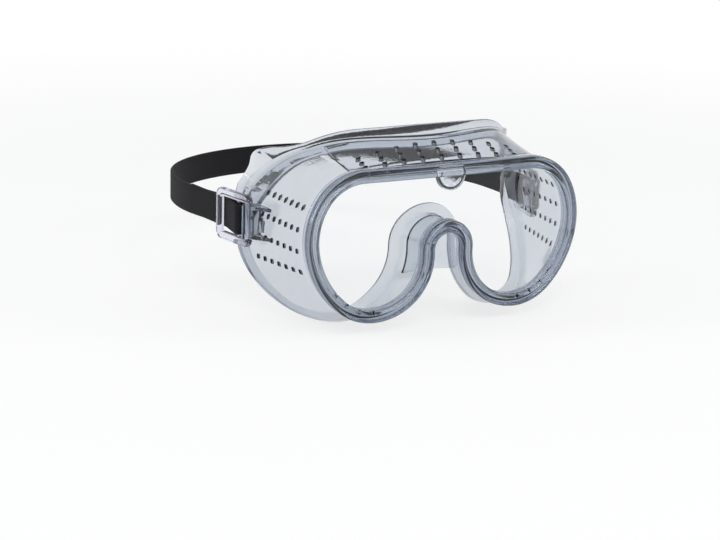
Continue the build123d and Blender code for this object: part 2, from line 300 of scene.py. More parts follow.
@dataclass(frozen=True)
class ClearPlastic:
    """A see-through moulded plastic, tinted through its depth.

    Its skin has soft waves and fine flow marks, and the faces inside the vents are matte and painted near
    black, a painted shade in the holes.
    Scales are cells for each metre, heights are metres, and the tint deepens by the density for each metre.
    """

    name: str
    colour: Colour
    thick_colour: Colour
    absorption: Colour
    density: float
    index: float
    roughness: float
    roughness_spread: float
    wave_scale: float
    wave_height: float
    peel_scale: float
    peel_height: float
    wave_detail: float = 3.0
    haze_ratio: float = 2.3
    haze_detail: float = 4.0
    haze_grain: float = 0.6
    # Painted shade in the vents: how much of it covers their faces, its near-black colour and its roughness.
    vent_shade_share: float = 0.0
    vent_shade_colour: Colour = (0.03, 0.032, 0.038)
    vent_shade_roughness: float = 0.55

    def build(self) -> bpy.types.Material:
        """Makes the material.

        Returns:
            The material.
        """
        material, graph = new_graph(self.name)
        waves = graph.noise(self.wave_scale, self.wave_detail)
        peel = graph.noise(self.peel_scale)
        haze = graph.noise(self.wave_scale * self.haze_ratio, self.haze_detail, self.haze_grain)
        skin = graph.bump(waves, self.wave_height)
        skin = graph.bump(peel, self.peel_height, below=skin)
        surface = graph.node(
            "ShaderNodeBsdfPrincipled",
            {},
            {
                "Base Color": graph.blend(haze, self.colour, self.thick_colour),
                "Roughness": self.roughness + haze * self.roughness_spread,
                "IOR": self.index,
                "Transmission Weight": 1.0,
                "Normal": skin,
            },
        )
        tint = {"Color": (*self.absorption, 1.0), "Density": self.density}
        volume = graph.node("ShaderNodeVolumeAbsorption", {}, tint)
        # The faces inside the vents take a near-black matte finish: painted shade in the holes.
        if self.vent_shade_share:
            matte = {"Base Color": (*self.vent_shade_colour, 1.0), "Roughness": self.vent_shade_roughness}
            vent_shade = graph.node("ShaderNodeBsdfPrincipled", {}, matte)
            surface = graph.mix(graph.attribute("vent_shade") * self.vent_shade_share, surface, vent_shade)
        graph.output(surface, volume)
        return material


@dataclass(frozen=True)
class Webbing:
    """Black knitted elastic: lengthwise ribs crossed by fine picks, with a dull fuzzy sheen."""

    name: str = "strap_webbing"
    dark: Colour = (0.0015, 0.0015, 0.002)
    light: Colour = (0.020, 0.020, 0.022)
    pick_pitch: float = 0.75 * MM
    rib_pitch: float = 1.29 * MM
    thread_share: float = 0.55
    thread_height: float = 0.12 * MM
    thread_strength: float = 0.8
    fuzz_scale: float = 2600.0
    fuzz_share: float = 0.3
    fuzz_height: float = 0.05 * MM
    fuzz_strength: float = 0.7
    wear_scale: float = 120.0
    wear_share: float = 0.25
    roughness: float = 0.78
    roughness_spread: float = 0.18

    def build(self) -> bpy.types.Material:
        """Makes the material.

        Returns:
            The material.
        """
        material, graph = new_graph(self.name)
        turn = 2 * math.pi
        picks = (graph.attribute("along") * (turn / self.pick_pitch)).sine()
        ribs = (graph.attribute("across") * (turn / self.rib_pitch)).sine()
        thread = (picks * ribs) * 0.5 + 0.5
        fuzz = graph.noise(self.fuzz_scale, detail=3.0, roughness=0.7)
        wear = graph.noise(self.wear_scale, detail=4.0, roughness=0.6)
        shade = thread * self.thread_share + fuzz * self.fuzz_share + wear * self.wear_share
        relief = graph.bump(thread, self.thread_height, self.thread_strength)
        relief = graph.bump(fuzz, self.fuzz_height, self.fuzz_strength, relief)
        surface = graph.node(
            "ShaderNodeBsdfPrincipled",
            {},
            {
                "Base Color": graph.blend(shade, self.dark, self.light),
                "Roughness": self.roughness + wear * self.roughness_spread,
                "Sheen Weight": 0.05,
                "Sheen Roughness": 0.5,
                "Specular IOR Level": 0.1,
                "Normal": relief,
            },
        )
        graph.output(surface)
        return material


@dataclass(frozen=True)
class PaleFloor:
    """The floor: white to the eye and through the plastic, with the object's shadow kept near it.

    Part of it glows plain white: a set share as far as the shadow reaches, and then more, up to all of it.
    """

    name: str = "pale_floor"
    colour: Colour = (0.92, 0.92, 0.92)
    grain_colour: Colour = (0.9062, 0.9062, 0.9062)
    grain_scale: float = 40.0
    glow: float = 0.72
    shadow_reach: float = 0.35
    plain_from: float = 0.9

    def build(self) -> bpy.types.Material:
        """Makes the material.

        Returns:
            The material.
        """
        material, graph = new_graph(self.name)
        grain = graph.noise(self.grain_scale, detail=3.0)
        matte = graph.node(
            "ShaderNodeBsdfPrincipled",
            {},
            {
                "Base Color": graph.blend(grain, self.colour, self.grain_colour),
                "Roughness": 0.9,
                "Specular IOR Level": 0.1,
            },
        )
        white = graph.node("ShaderNodeEmission", {}, {"Color": (1.0, 1.0, 1.0, 1.0), "Strength": 1.0})
        away = graph.node("ShaderNodeVectorMath", {"operation": "LENGTH"}, {0: graph.place()})
        glow = graph.node(
            "ShaderNodeMapRange",
            {"interpolation_type": "SMOOTHSTEP"},
            {
                "Value": away.outputs["Value"],
                "From Min": self.shadow_reach,
                "From Max": self.plain_from,
                "To Min": self.glow,
                "To Max": 1.0,
            },
        )
        share = graph.seen_through() * Value(graph, glow.outputs["Result"])
        graph.output(graph.mix(share, matte, white))
        return material


VINYL = ClearPlastic(
    name="frame_vinyl",
    colour=(0.93, 0.94, 0.955),
    thick_colour=(0.86, 0.88, 0.91),
    absorption=(0.38, 0.45, 0.55),
    density=240.0,
    index=1.52,
    roughness=0.02,
    roughness_spread=0.06,
    wave_scale=70.0,
    wave_height=0.05 * MM,
    peel_scale=900.0,
    peel_height=0.012 * MM,
    # The faces inside the vents get painted shade at this share.
    vent_shade_share=0.8,
)
POLYCARBONATE = ClearPlastic(
    name="lens_polycarbonate",
    colour=(0.985, 0.99, 0.99),
    thick_colour=(0.975, 0.985, 0.985),
    absorption=(0.85, 0.92, 0.95),
    density=12.0,
    index=1.2,
    roughness=0.0,
    roughness_spread=0.02,
    wave_scale=14.0,
    wave_height=0.04 * MM,
    peel_scale=400.0,
    peel_height=0.0008 * MM,
)
SLIDE_PLASTIC = ClearPlastic(
    name="slide_plastic",
    colour=(0.90, 0.90, 0.96),
    thick_colour=(0.84, 0.84, 0.93),
    absorption=(0.42, 0.42, 0.66),
    density=45.0,
    index=1.49,
    roughness=0.04,
    roughness_spread=0.06,
    wave_scale=160.0,
    wave_height=0.08 * MM,
    peel_scale=1500.0,
    peel_height=0.004 * MM,
)


# ---------------------------------------------------------------- mesh tools

Ring = list[bmesh.types.BMEdge]


def object_from(name: str, shape: bmesh.types.BMesh) -> bpy.types.Object:
    """Turns a bmesh into an object of the scene.

    Args:
        name: the object's name.
        shape: the mesh, which is freed.

    Returns:
        The object, at the origin.
    """
    mesh = bpy.data.meshes.new(name)
    shape.to_mesh(mesh)
    shape.free()
    made = bpy.data.objects.new(name, mesh)
    bpy.context.scene.collection.objects.link(made)
    return made


def drop(made: bpy.types.Object) -> None:
    """Deletes a helper object and its mesh.

    Args:
        made: the object to delete.
    """
    mesh = made.data
    bpy.data.objects.remove(made)
    bpy.data.meshes.remove(mesh)


def bake_modifiers(made: bpy.types.Object) -> None:
    """Puts what the object's modifiers give into its mesh and takes them off.

    Args:
        made: the object whose modifiers are applied.
    """
    graph = bpy.context.evaluated_depsgraph_get()
    mesh = bpy.data.meshes.new_from_object(made.evaluated_get(graph))
    old = made.data
    made.modifiers.clear()
    made.data = mesh
    bpy.data.meshes.remove(old)


def split_faces(made: bpy.types.Object) -> None:
    """Splits an object's faces into triangles, so that each one is flat.

    Args:
        made: the object to split.
    """
    shape = bmesh.new()
    shape.from_mesh(made.data)
    bmesh.ops.triangulate(shape, faces=[face for face in shape.faces if len(face.verts) > 3])
    shape.to_mesh(made.data)
    shape.free()


def combine(made: bpy.types.Object, tool: bpy.types.Object, how: Cut) -> None:
    """Joins a closed helper to an object, or cuts it away, and deletes the helper.

    Args:
        made: the object that is changed.
        tool: the closed helper.
        how: whether it is joined or cut away.
    """
    split_faces(made)
    split_faces(tool)
    modifier = made.modifiers.new("combine", "BOOLEAN")
    modifier.operation = how.value
    modifier.solver = "EXACT"
    modifier.object = tool
    bake_modifiers(made)
    drop(tool)


def round_edges(made: bpy.types.Object, width: float, segments: int, angle: float) -> None:
    """Rounds every edge that is sharper than an angle in degrees.

    Args:
        made: the object to round.
        width: how far a rounding reaches from its edge.
        segments: steps across a rounding.
        angle: the angle in degrees.
    """
    modifier = made.modifiers.new("round", "BEVEL")
    modifier.width = width
    modifier.segments = segments
    modifier.limit_method = "ANGLE"
    modifier.angle_limit = math.radians(angle)
    modifier.harden_normals = False
    bake_modifiers(made)


def weld(made: bpy.types.Object, reach: float = 0.0005 * MM) -> None:
    """Joins corners that lie on one spot, and drops faces with no area or with their own copy behind them.

    Args:
        made: the object to mend.
        reach: widest distance between two corners that become one.
    """
    shape = bmesh.new()
    shape.from_mesh(made.data)
    bmesh.ops.remove_doubles(shape, verts=shape.verts[:], dist=reach)
    bmesh.ops.dissolve_degenerate(shape, edges=shape.edges[:], dist=reach)
    shape.verts.index_update()
    copies: dict[frozenset[int], list[bmesh.types.BMFace]] = {}
    for face in shape.faces:
        copies.setdefault(frozenset(vert.index for vert in face.verts), []).append(face)
    folded = [face for faces in copies.values() if len(faces) > 1 for face in faces]
    bmesh.ops.delete(shape, geom=folded, context="FACES")
    shape.to_mesh(made.data)
    shape.free()


def finish_surface(made: bpy.types.Object, material: bpy.types.Material, angle: float) -> None:
    """Shades an object smooth up to an angle in degrees and gives it its one material.

    Args:
        made: the object to dress.
        material: its material.
        angle: the angle in degrees.
    """
    mesh = made.data
    mesh.shade_smooth()
    mesh.set_sharp_from_angle(angle=math.radians(angle))
    mesh.materials.clear()
    mesh.materials.append(material)


def set_on_side(made: bpy.types.Object, side: Side) -> None:
    """Mirrors an object that was built on the wearer's left, if it belongs on the right.

    Args:
        made: the object.
        side: where it belongs.
    """
    if side is Side.RIGHT:
        made.data.transform(Matrix.Scale(-1, 4, (1, 0, 0)))
        made.data.flip_normals()


def block(shape: bmesh.types.BMesh, low: Sequence[float], high: Sequence[float]) -> list[bmesh.types.BMVert]:
    """Adds a box between two corners.

    Args:
        shape: the mesh to add to.
        low: lowest corner.
        high: highest corner.

    Returns:
        The box's vertices.
    """
    low, high = Vector(low), Vector(high)
    size = high - low
    matrix = Matrix.Translation((low + high) / 2) @ Matrix.Diagonal((*size, 1.0))
    return bmesh.ops.create_cube(shape, size=1.0, matrix=matrix)["verts"]


def rod(shape: bmesh.types.BMesh, place: Matrix, radius: float, length: float, segments: int) -> None:
    """Adds a cylinder along the Z axis of its place.

    Args:
        shape: the mesh to add to.
        place: where the cylinder's middle is and how it is turned.
        radius: its radius.
        length: its length.
        segments: how many sides it has.
    """
    bmesh.ops.create_cone(
        shape, cap_ends=True, segments=segments, radius1=radius, radius2=radius, depth=length, matrix=place
    )


def extrude(
    shape: bmesh.types.BMesh, faces: list[bmesh.types.BMFace], step: Sequence[float]
) -> list[bmesh.types.BMVert]:
    """Extrudes faces into a solid.

    Args:
        shape: the mesh that they are in.
        faces: the faces.
        step: how far and which way.

    Returns:
        The vertices of the solid's far end.
    """
    made = bmesh.ops.extrude_face_region(shape, geom=faces)["geom"]
    fresh = [item for item in made if isinstance(item, bmesh.types.BMVert)]
    bmesh.ops.translate(shape, verts=fresh, vec=step)
    return fresh


def prism(shape: bmesh.types.BMesh, points: Sequence[Vector], step: Sequence[float]) -> None:
    """Adds a solid on a flat outline.

    Args:
        shape: the mesh to add to.
        points: the outline's corners.
        step: how far and which way the outline is extruded.
    """
    face = bmesh.ops.contextual_create(shape, geom=closed_ring(shape, points))["faces"][0]
    extrude(shape, [face], step)
    bmesh.ops.recalc_face_normals(shape, faces=shape.faces)


def slice_at(shape: bmesh.types.BMesh, place: Sequence[float], normal: Sequence[float], clear: bool) -> None:
    """Cuts a mesh along a plane.

    Args:
        shape: the mesh.
        place: a point of the plane.
        normal: the plane's normal.
        clear: whether what lies beyond the plane goes.
    """
    geometry = [*shape.verts, *shape.edges, *shape.faces]
    bmesh.ops.bisect_plane(shape, geom=geometry, plane_co=place, plane_no=normal, clear_outer=clear)


def close_holes(shape: bmesh.types.BMesh) -> None:
    """Fills a mesh's holes with flat faces and turns every face outwards."""
    bmesh.ops.holes_fill(shape, edges=[edge for edge in shape.edges if edge.is_boundary])
    bmesh.ops.recalc_face_normals(shape, faces=shape.faces)


def closed_ring(shape: bmesh.types.BMesh, points: Iterable[Vector]) -> Ring:
    """Adds a closed ring of edges through points."""
    verts = [shape.verts.new(point) for point in points]
    return [shape.edges.new((a, b)) for a, b in zip(verts, verts[1:] + verts[:1])]


def first_vert(ring: Ring, index: int) -> bmesh.types.BMVert:
    """The vertex that an edge of a closed ring shares with the edge before it."""
    before = set(ring[index - 1].verts)
    return next(vert for vert in ring[index].verts if vert in before)


def next_ring(shape: bmesh.types.BMesh, ring: Ring | None, points: Sequence[Vector]) -> Ring:
    """Adds the next closed ring of a tube: extruded from the ring before it, or fresh where there is none.

    Args:
        shape: the mesh.
        ring: the edges to extrude, in order.
        points: where each edge's first vertex goes.

    Returns:
        The new edges, in the same order.
    """
    if ring is None:
        return closed_ring(shape, points)
    firsts = [first_vert(ring, index) for index in range(len(ring))]
    made = bmesh.ops.extrude_edge_only(shape, edges=ring)["geom"]
    fresh = {item for item in made if isinstance(item, bmesh.types.BMVert)}
    verts = []
    for old, point in zip(firsts, points):
        ends = (edge.other_vert(old) for edge in old.link_edges)
        verts.append(next(end for end in ends if end in fresh))
        verts[-1].co = point
    return [shape.edges.get(pair) for pair in zip(verts, verts[1:] + verts[:1])]


def tube(shape: bmesh.types.BMesh, rings: Iterable[Sequence[Vector]]) -> None:
    """Adds a closed tube through rings of points, with a flat face at each end.

    Args:
        shape: the mesh to add to.
        rings: the points of each ring, in order.
    """
    first, ring = None, None
    for points in rings:
        ring = next_ring(shape, ring, points)
        first = first or ring
    close_ends(shape, first, ring)


def close_ends(shape: bmesh.types.BMesh, first: Ring, last: Ring) -> None:
    """Puts a flat face on each end of a tube and turns every face outwards.

    Args:
        shape: the mesh.
        first: the ring at one end.
        last: the ring at the other end.
    """
    for ring in (first, last):
        bmesh.ops.contextual_create(shape, geom=ring)
    bmesh.ops.recalc_face_normals(shape, faces=shape.faces)


# ---------------------------------------------------------------- outlines and the shape of the frame


def turned(vector: Vector, angle: float) -> Vector:
    """A flat vector turned anticlockwise by an angle in radians."""
    return Matrix.Rotation(angle, 2) @ vector


def arc_turn(tangent: Vector, step: Vector) -> float:
    """How far an arc turns clockwise, in radians, from its first tangent and the step to its end."""
    inward = Vector((tangent.y, -tangent.x))
    return 2 * math.atan2(step.dot(inward), step.dot(tangent))


def scaled(points: Iterable[Point2]) -> tuple[Point2, ...]:
    """Points in millimetres as points in metres."""
    return tuple((x * MM, y * MM) for x, y in points)


@dataclass
class ArcLine:
    """Arcs that run into each other: level at the top, on the mid-plane, and then from joint to joint.

    The last arc of an outline ends level too, back on the mid-plane.
    """

    top: float
    joints: tuple[Point2, ...]
    ends_level: bool = True
    # Where each arc starts, its tangent there and the step to its end.
    arcs: list[tuple[Vector, Vector, Vector]] = field(default_factory=list, init=False)

    def __post_init__(self) -> None:
        """Works out where each arc starts, its tangent there and the step to its end."""
        start, tangent = Vector((0.0, self.top)), Vector((1.0, 0.0))
        for joint in self.joints:
            step = Vector(joint) - start
            self.arcs.append((start, tangent, step))
            tangent = turned(tangent, -arc_turn(tangent, step))
            start = Vector(joint)

    def length(self, arc: int) -> float:
        """The length of one arc.

        Args:
            arc: which arc.

        Returns:
            Its length.
        """
        _, tangent, step = self.arcs[arc]
        half = arc_turn(tangent, step) / 2
        return step.length * (half / math.sin(half) if abs(half) > TINY else 1.0)

    def tangent(self, arc: int, share: float) -> Vector:
        """The direction of the line at a share of one arc.

        Args:
            arc: which arc.
            share: how far along it, 0 to 1.

        Returns:
            The direction, of length 1.
        """
        if self.ends_level and arc == len(self.arcs) - 1 and share > 1 - TINY:
            return Vector((-1.0, 0.0))
        _, tangent, step = self.arcs[arc]
        return turned(tangent, -arc_turn(tangent, step) * share)

    def at(self, arc: int, share: float, inset: float = 0.0) -> Vector:
        """A point of the line.

        Args:
            arc: which arc.
            share: how far along it, 0 to 1.
            inset: how far to the right of the line, which is inwards on an outline.

        Returns:
            The point.
        """
        start, tangent, step = self.arcs[arc]
        turn = arc_turn(tangent, step)
        if abs(turn) < TINY:
            point = start + step * share
        else:
            chord = step.length * math.sin(turn * share / 2) / math.sin(turn / 2)
            point = start + turned(tangent, -turn * share / 2) * chord
        along = self.tangent(arc, share)
        return point + Vector((along.y, -along.x)) * inset


@dataclass(frozen=True)
class Station:
    """A place along the outlines: the arc, how far along it, and the side as the sign of X."""

    arc: int
    share: float
    side: int


@dataclass
class Shell:
    """The surfaces that the frame is made of: bowed rim, flared side walls and the wearer's face.

    The joints are the left halves of the outlines, as X and Z in millimetres, and the cheek is Y and Z.
    """

    rim_top: float = 39.0 * MM
    rim_joints: tuple[Point2, ...] = (
        (47.4, 38.9),
        (72.2, 24.8),
        (77.3, -2.3),
        (61.0, -31.6),
        (41.3, -39.2),
        (26.7, -36.2),
        (7.9, -5.1),
        (0.0, 3.5),
    )
    skirt_top: float = 88.9 * MM
    skirt_joints: tuple[Point2, ...] = (
        (65.0, 47.5),
        (75.0, 24.2),
        (83.5, -2.4),
        (81.4, -48.9),
        (54.5, -67.2),
        (35.5, -56.1),
        (21.6, -10.3),
        (0.0, 10.7),
    )
    lens_y: float = -22.0 * MM
    bow_radius: float = 1034.0 * MM
    skirt_y: float = -19.8 * MM
    skirt_length: float = 79.0 * MM
    skirt_set_in: float = 2.4 * MM
    forehead_radius: float = 80.0 * MM
    forehead_reach: float = 0.985
    cheek: tuple[Point2, ...] = ((-16.0, -50.0), (18.0, -39.0), (45.5, -16.0), (54.0, 8.0), (51.0, 36.0))
    face_blend: float = 1.8 * MM
    slope_step: float = 0.5 * MM
    steepest: float = 2.6
    pitch: float = 2.0 * MM
    least_steps: int = 4
    halvings: int = 22
    softening: int = 10
    stations: list[Station] = field(default_factory=list, init=False)
    # The wall's ends that are worked out already, by inset and lift.
    ends: dict[tuple[float, float], dict[Station, float]] = field(default_factory=dict, init=False)

    def __post_init__(self) -> None:
        """Draws the two outlines and sets the places round them, clockwise from the top of the mid-plane."""
        self.rim = ArcLine(self.rim_top, scaled(self.rim_joints))
        self.skirt = ArcLine(self.skirt_top, scaled(self.skirt_joints))
        half = []
        for arc in range(len(self.rim.arcs)):
            length = (self.rim.length(arc) + self.skirt.length(arc)) / 2
            count = max(self.least_steps, round(length / self.pitch))
            half += [Station(arc, step / count, 1) for step in range(count)]
        lowest = Station(len(self.rim.arcs) - 1, 1.0, 1)
        other = [Station(place.arc, place.share, -1) for place in reversed(half[1:])]
        self.stations = [*half, lowest, *other]

    def bow(self, x: float) -> float:
        """How far back the middle of the bowed lens lies at a distance from the mid-plane."""
        return self.lens_y + self.bow_radius - math.sqrt(self.bow_radius**2 - x * x)

    def cheek_y(self, z: float) -> float:
        """How far forward the cheek reaches at a height: a smooth curve through its points.

        Args:
            z: the height.

        Returns:
            The Y of the cheek.
        """
        height = z / MM
        points = self.cheek
        if height <= points[0][1]:
            return points[0][0] * MM
        if height >= points[-1][1]:
            return points[-1][0] * MM
        index = next(i for i in range(len(points) - 1) if height <= points[i + 1][1])
        slopes = []
        for i in (index, index + 1):
            before, after = points[max(i - 1, 0)], points[min(i + 1, len(points) - 1)]
            slopes.append((after[0] - before[0]) / (after[1] - before[1]))
        (y0, z0), (y1, z1) = points[index], points[index + 1]
        span = z1 - z0
        t = (height - z0) / span
        rise = t * t * (3 - 2 * t)
        bend = span * (slopes[0] * t * (1 - t) ** 2 - slopes[1] * t * t * (1 - t))
        return (y0 + (y1 - y0) * rise + bend) * MM

    def forehead_y(self, x: float) -> float:
        """The Y of the round forehead at a distance from the mid-plane, held past the forehead's edge."""
        aside = min(abs(x), self.forehead_reach * self.forehead_radius)
        return self.forehead_radius - math.sqrt(self.forehead_radius**2 - aside**2)

    def face_y(self, x: float, z: float) -> float:
        """How far forward the face reaches: the round forehead and the cheeks, run softly together.

        Args:
            x: distance from the mid-plane.
            z: the height.

        Returns:
            The Y of the face.
        """
        forehead, cheek = self.forehead_y(x), self.cheek_y(z)
        nearer, gap = min(forehead, cheek), abs(forehead - cheek)
        return nearer - self.face_blend * math.log1p(math.exp(-gap / self.face_blend))

    def steepness(self, x: float, z: float) -> float:
        """How much longer a skin's reach along Y is than its thickness, on the slope of the face.

        Args:
            x: distance from the mid-plane.
            z: the height.

        Returns:
            The factor, 1 where the face is square to Y.
        """
        step = self.slope_step
        slope_x = (self.face_y(x + step, z) - self.face_y(x - step, z)) / (2 * step)
        slope_z = (self.face_y(x, z + step) - self.face_y(x, z - step)) / (2 * step)
        return min(self.steepest, math.sqrt(1 + slope_x**2 + slope_z**2))

    def on_rim(self, station: Station, inset: float, depth: float) -> Vector:
        """A point of the rim's section.

        Args:
            station: where along the outline.
            inset: how far inside the outline.
            depth: how far behind the middle of the lens sheet.

        Returns:
            The point.
        """
        flat = self.rim.at(station.arc, station.share, inset)
        return Vector((station.side * flat.x, self.bow(flat.x) + depth, flat.y))

    def on_wall(self, station: Station, inset: float, y: float) -> Vector:
        """A point of the side wall.

        Args:
            station: where along the outline.
            inset: how far inside the wall's outer surface.
            y: how far back.

        Returns:
            The point.
        """
        share = (y - self.skirt_y) / self.skirt_length
        front = self.rim.at(station.arc, station.share, self.skirt_set_in + inset)
        back = self.skirt.at(station.arc, station.share, inset)
        flat = front.lerp(back, share)
        return Vector((station.side * flat.x, y, flat.y))

    def skin_y(self, x: float, z: float, lift: float) -> float:
        """How far forward a skin of a thickness over the face reaches."""
        return self.face_y(x, z) - lift * self.steepness(x, z)

    def meeting(self, station: Station, inset: float, lift: float) -> float:
        """How far back the wall, inset, meets a skin of a thickness over the face.

        Args:
            station: where along the outline.
            inset: how far inside the wall's outer surface.
            lift: the skin's thickness.

        Returns:
            The Y where they meet.
        """
        low, high = self.skirt_y, self.skirt_y + self.skirt_length
        for _ in range(self.halvings):
            middle = (low + high) / 2
            point = self.on_wall(station, inset, middle)
            low, high = (middle, high) if middle < self.skin_y(point.x, point.z, lift) else (low, middle)
        return (low + high) / 2

    def wall_end(self, station: Station, inset: float, lift: float) -> float:
        """Where the wall ends: its meeting with the skin, softened along the goggles as a moulding is.

        Args:
            station: where along the outline.
            inset: how far inside the wall's outer surface.
            lift: the skin's thickness.

        Returns:
            The Y where the wall ends.
        """
        key = (inset, lift)
        if key not in self.ends:
            depths = [self.meeting(place, inset, lift) for place in self.stations]
            for _ in range(self.softening):
                around = zip(depths[-1:] + depths[:-1], depths, depths[1:] + depths[:1])
                depths = [(before + 2 * here + after) / 4 for before, here, after in around]
            self.ends[key] = dict(zip(self.stations, depths))
        return self.ends[key][station]

    def on_face(self, station: Station, inset: float, lift: float) -> Vector:
        """A point where the wall, inset, meets a skin of a thickness over the face."""
        return self.on_wall(station, inset, self.wall_end(station, inset, lift))


Place = Callable[[Station], Vector]


@dataclass
class Frame:
    """The soft vinyl moulding: rim, walls, face seal, brow lip, top panel, nose web, tab, vents and lugs."""

    shell: Shell
    # Edges that turn by more than one angle are rounded, and by less than the other are shaded smooth.
    sharp: float = 50.0
    smooth: float = 38.0
    # The rim, with the groove for the lens and the channel round its front.
    rim_width: float = 6.5 * MM
    rim_half: float = 3.5 * MM
    groove_half: float = 0.9 * MM
    groove_inset: float = 3.35 * MM
    ridge: float = 1.7 * MM
    channel_inner: float = 3.9 * MM
    channel_floor: float = 2.4 * MM
    rim_round: float = 0.8 * MM
    bezel_round: float = 1.5 * MM
    channel_round: float = 0.4 * MM
    groove_round: float = 0.25 * MM
    # The side walls and the seal that turns in against the face.
    wall: float = 1.8 * MM
    wall_steps: int = 7
    seal_round: float = 0.6 * MM
    seal_width: float = 5.0 * MM
    seal_thickness: float = 1.6 * MM
    # The brow lip, whose joints are X and Z in millimetres.
    lip_top: float = 55.0 * MM
    lip_joints: tuple[Point2, ...] = (
        (36.0, 53.0),
        (55.0, 46.2),
        (68.5, 40.5),
        (75.4, 32.0),
        (78.8, 22.8),
        (81.4, 10.0),
    )
    lip_sunk: float = 0.2 * MM
    lip_width: float = 7.0 * MM
    lip_thickness: float = 1.8 * MM
    lip_pitch: float = 1.6 * MM
    lip_least_steps: int = 3
    lip_end_angles: tuple[float, ...] = (0.0, 15.0, 30.0, 45.0, 60.0, 74.0, 85.0)
    lip_round: float = 0.6 * MM
    # The top panel, made as far as an arc of the outline and a share of it, and then cut to its width.
    panel_end: tuple[int, float] = (1, 0.6)
    panel_half_width: float = 52.0 * MM
    panel_rise: float = 0.8 * MM
    panel_front: float = -17.0 * MM
    panel_gap: float = 4.0 * MM
    panel_round: float = 0.35 * MM
    # The nose web, which starts at an arc of the outline.
    web_arc: int = 5
    web_y: float = -6.0 * MM
    web_thickness: float = 1.4 * MM
    web_bottom: float = -23.0 * MM
    web_arch: float = 3.0 * MM
    web_half_width: float = 26.7 * MM
    web_steps: int = 12
    web_round: float = 0.3 * MM
    # The thumb tab.
    tab_radius: float = 8.2 * MM
    tab_segments: int = 64
    tab_z: float = 33.6 * MM
    tab_back: float = -23.1 * MM
    tab_thickness: float = 2.1 * MM
    tab_top: float = 38.15 * MM
    tab_border: float = 2.2 * MM
    tab_slope: float = 0.8 * MM
    tab_dish: float = 0.6 * MM
    tab_round: float = 0.4 * MM
    tab_sharp: float = 30.0
    # The vents, in columns and rows, each cut from a plane inside the frame.
    vent_segments: int = 12
    vent_width: float = 1.7 * MM
    vent_height: float = 2.7 * MM
    side_vents: tuple[int, int] = (7, 4)
    side_vent_pitch: Point2 = (5.9 * MM, 10.8 * MM)
    side_vent_start: Point2 = (-6.5 * MM, 18.8 * MM)
    side_vent_x: float = 61.0 * MM
    side_vent_reach: float = 40.0 * MM
    top_vents: tuple[int, int] = (9, 3)
    top_vent_pitch: Point2 = (10.7 * MM, 4.0 * MM)
    top_vent_y: float = -14.0 * MM
    top_vent_z: float = 30.0 * MM
    top_vent_reach: float = 30.0 * MM
    vent_slack: float = 0.05 * MM
    vent_side_slope: float = 0.3
    # The drain slots, from the channel to the groove at the bottom of the rim.
    drain_arc: int = 4
    drain_angles: tuple[float, ...] = (-88.0, -70.0, -52.0, -34.0)
    drain_inset: float = 5.2 * MM
    drain_length: float = 1.5 * MM
    drain_width: float = 2.4 * MM
    drain_front: float = -8.0 * MM
    drain_back: float = -0.75 * MM
    # The lugs that the slides swing in.
    bore: float = 1.58 * MM
    bore_segments: int = 32
    lug_wall: float = 1.6 * MM
    lug_segments: int = 48
    lug_height: float = 17.0 * MM
    lug_round: float = 0.3 * MM
    lug_mouth: tuple[float, float] = (-80.0, -10.0)
    lug_root: float = 79.2 * MM
    rib_root: float = 78.3 * MM
    lug_web: float = 3.6 * MM
    rib_length: float = 12.0 * MM
    rib_thickness: float = 1.8 * MM

    def rim_place(self, inset: float, depth: float) -> Place:
        """A ring of the rim's section."""
        return lambda station: self.shell.on_rim(station, inset, depth)

    def rim_back(self, inset: float) -> Place:
        """The ring where the wall, inset, meets the back of the rim."""
        return lambda station: self.wall_point(station, inset, 0.0, 0.0)

    def wall_point(self, station: Station, inset: float, lift: float, share: float) -> Vector:
        """A point of the wall.

        Args:
            station: where along the outline.
            inset: how far inside the wall's outer surface.
            lift: the skin over the face that the wall ends at.
            share: 0 at the back of the rim and 1 at that skin.

        Returns:
            The point.
        """
        flat = self.shell.rim.at(station.arc, station.share, self.shell.skirt_set_in + inset)
        front = self.shell.bow(flat.x) + self.rim_half
        y = front + (self.shell.wall_end(station, inset, lift) - front) * share
        return self.shell.on_wall(station, inset, y)

    def wall_place(self, inset: float, lift: float, share: float) -> Place:
        """A ring of the wall at a share of the way to the face."""
        return lambda station: self.wall_point(station, inset, lift, share)

    def face_place(self, inset: float, lift: float) -> Place:
        """A ring of the face seal."""
        return lambda station: self.shell.on_face(station, inset, lift)

    def section(self) -> list[tuple[Place, float]]:
        """The rings of the moulding's section, each with the radius that its corner is rounded to.

        Returns:
            A place and a radius for each ring, right round the section.
        """
        inside = self.wall + self.seal_width
        rings = [
            (self.rim_place(0.0, -self.rim_half), self.rim_round),
            (self.rim_place(self.ridge, -self.rim_half), self.channel_round),
            (self.rim_place(self.ridge, -self.channel_floor), self.channel_round),
            (self.rim_place(self.channel_inner, -self.channel_floor), self.channel_round),
            (self.rim_place(self.channel_inner, -self.rim_half), self.channel_round),
            (self.rim_place(self.rim_width, -self.rim_half), self.bezel_round),
            (self.rim_place(self.rim_width, -self.groove_half), self.groove_round),
            (self.rim_place(self.groove_inset, -self.groove_half), 0.0),
            (self.rim_place(self.groove_inset, self.groove_half), 0.0),
            (self.rim_place(self.rim_width, self.groove_half), self.groove_round),
            (self.rim_place(self.rim_width, self.rim_half), self.rim_round),
            (self.rim_back(self.wall), self.channel_round),
        ]
        steps = [step / self.wall_steps for step in range(1, self.wall_steps)]
        rings += [(self.wall_place(self.wall, self.seal_thickness, share), 0.0) for share in steps]
        rings += [
            (self.face_place(self.wall, self.seal_thickness), self.rim_round),
            (self.face_place(inside, self.seal_thickness), self.seal_round),
            (self.face_place(inside, 0.0), self.seal_round),
            (self.face_place(0.0, 0.0), self.seal_round),
        ]
        rings += [(self.wall_place(0.0, 0.0, share), 0.0) for share in reversed(steps)]
        rings += [
            (self.rim_back(0.0), self.channel_round),
            (self.rim_place(0.0, self.rim_half), self.rim_round),
        ]
        return rings

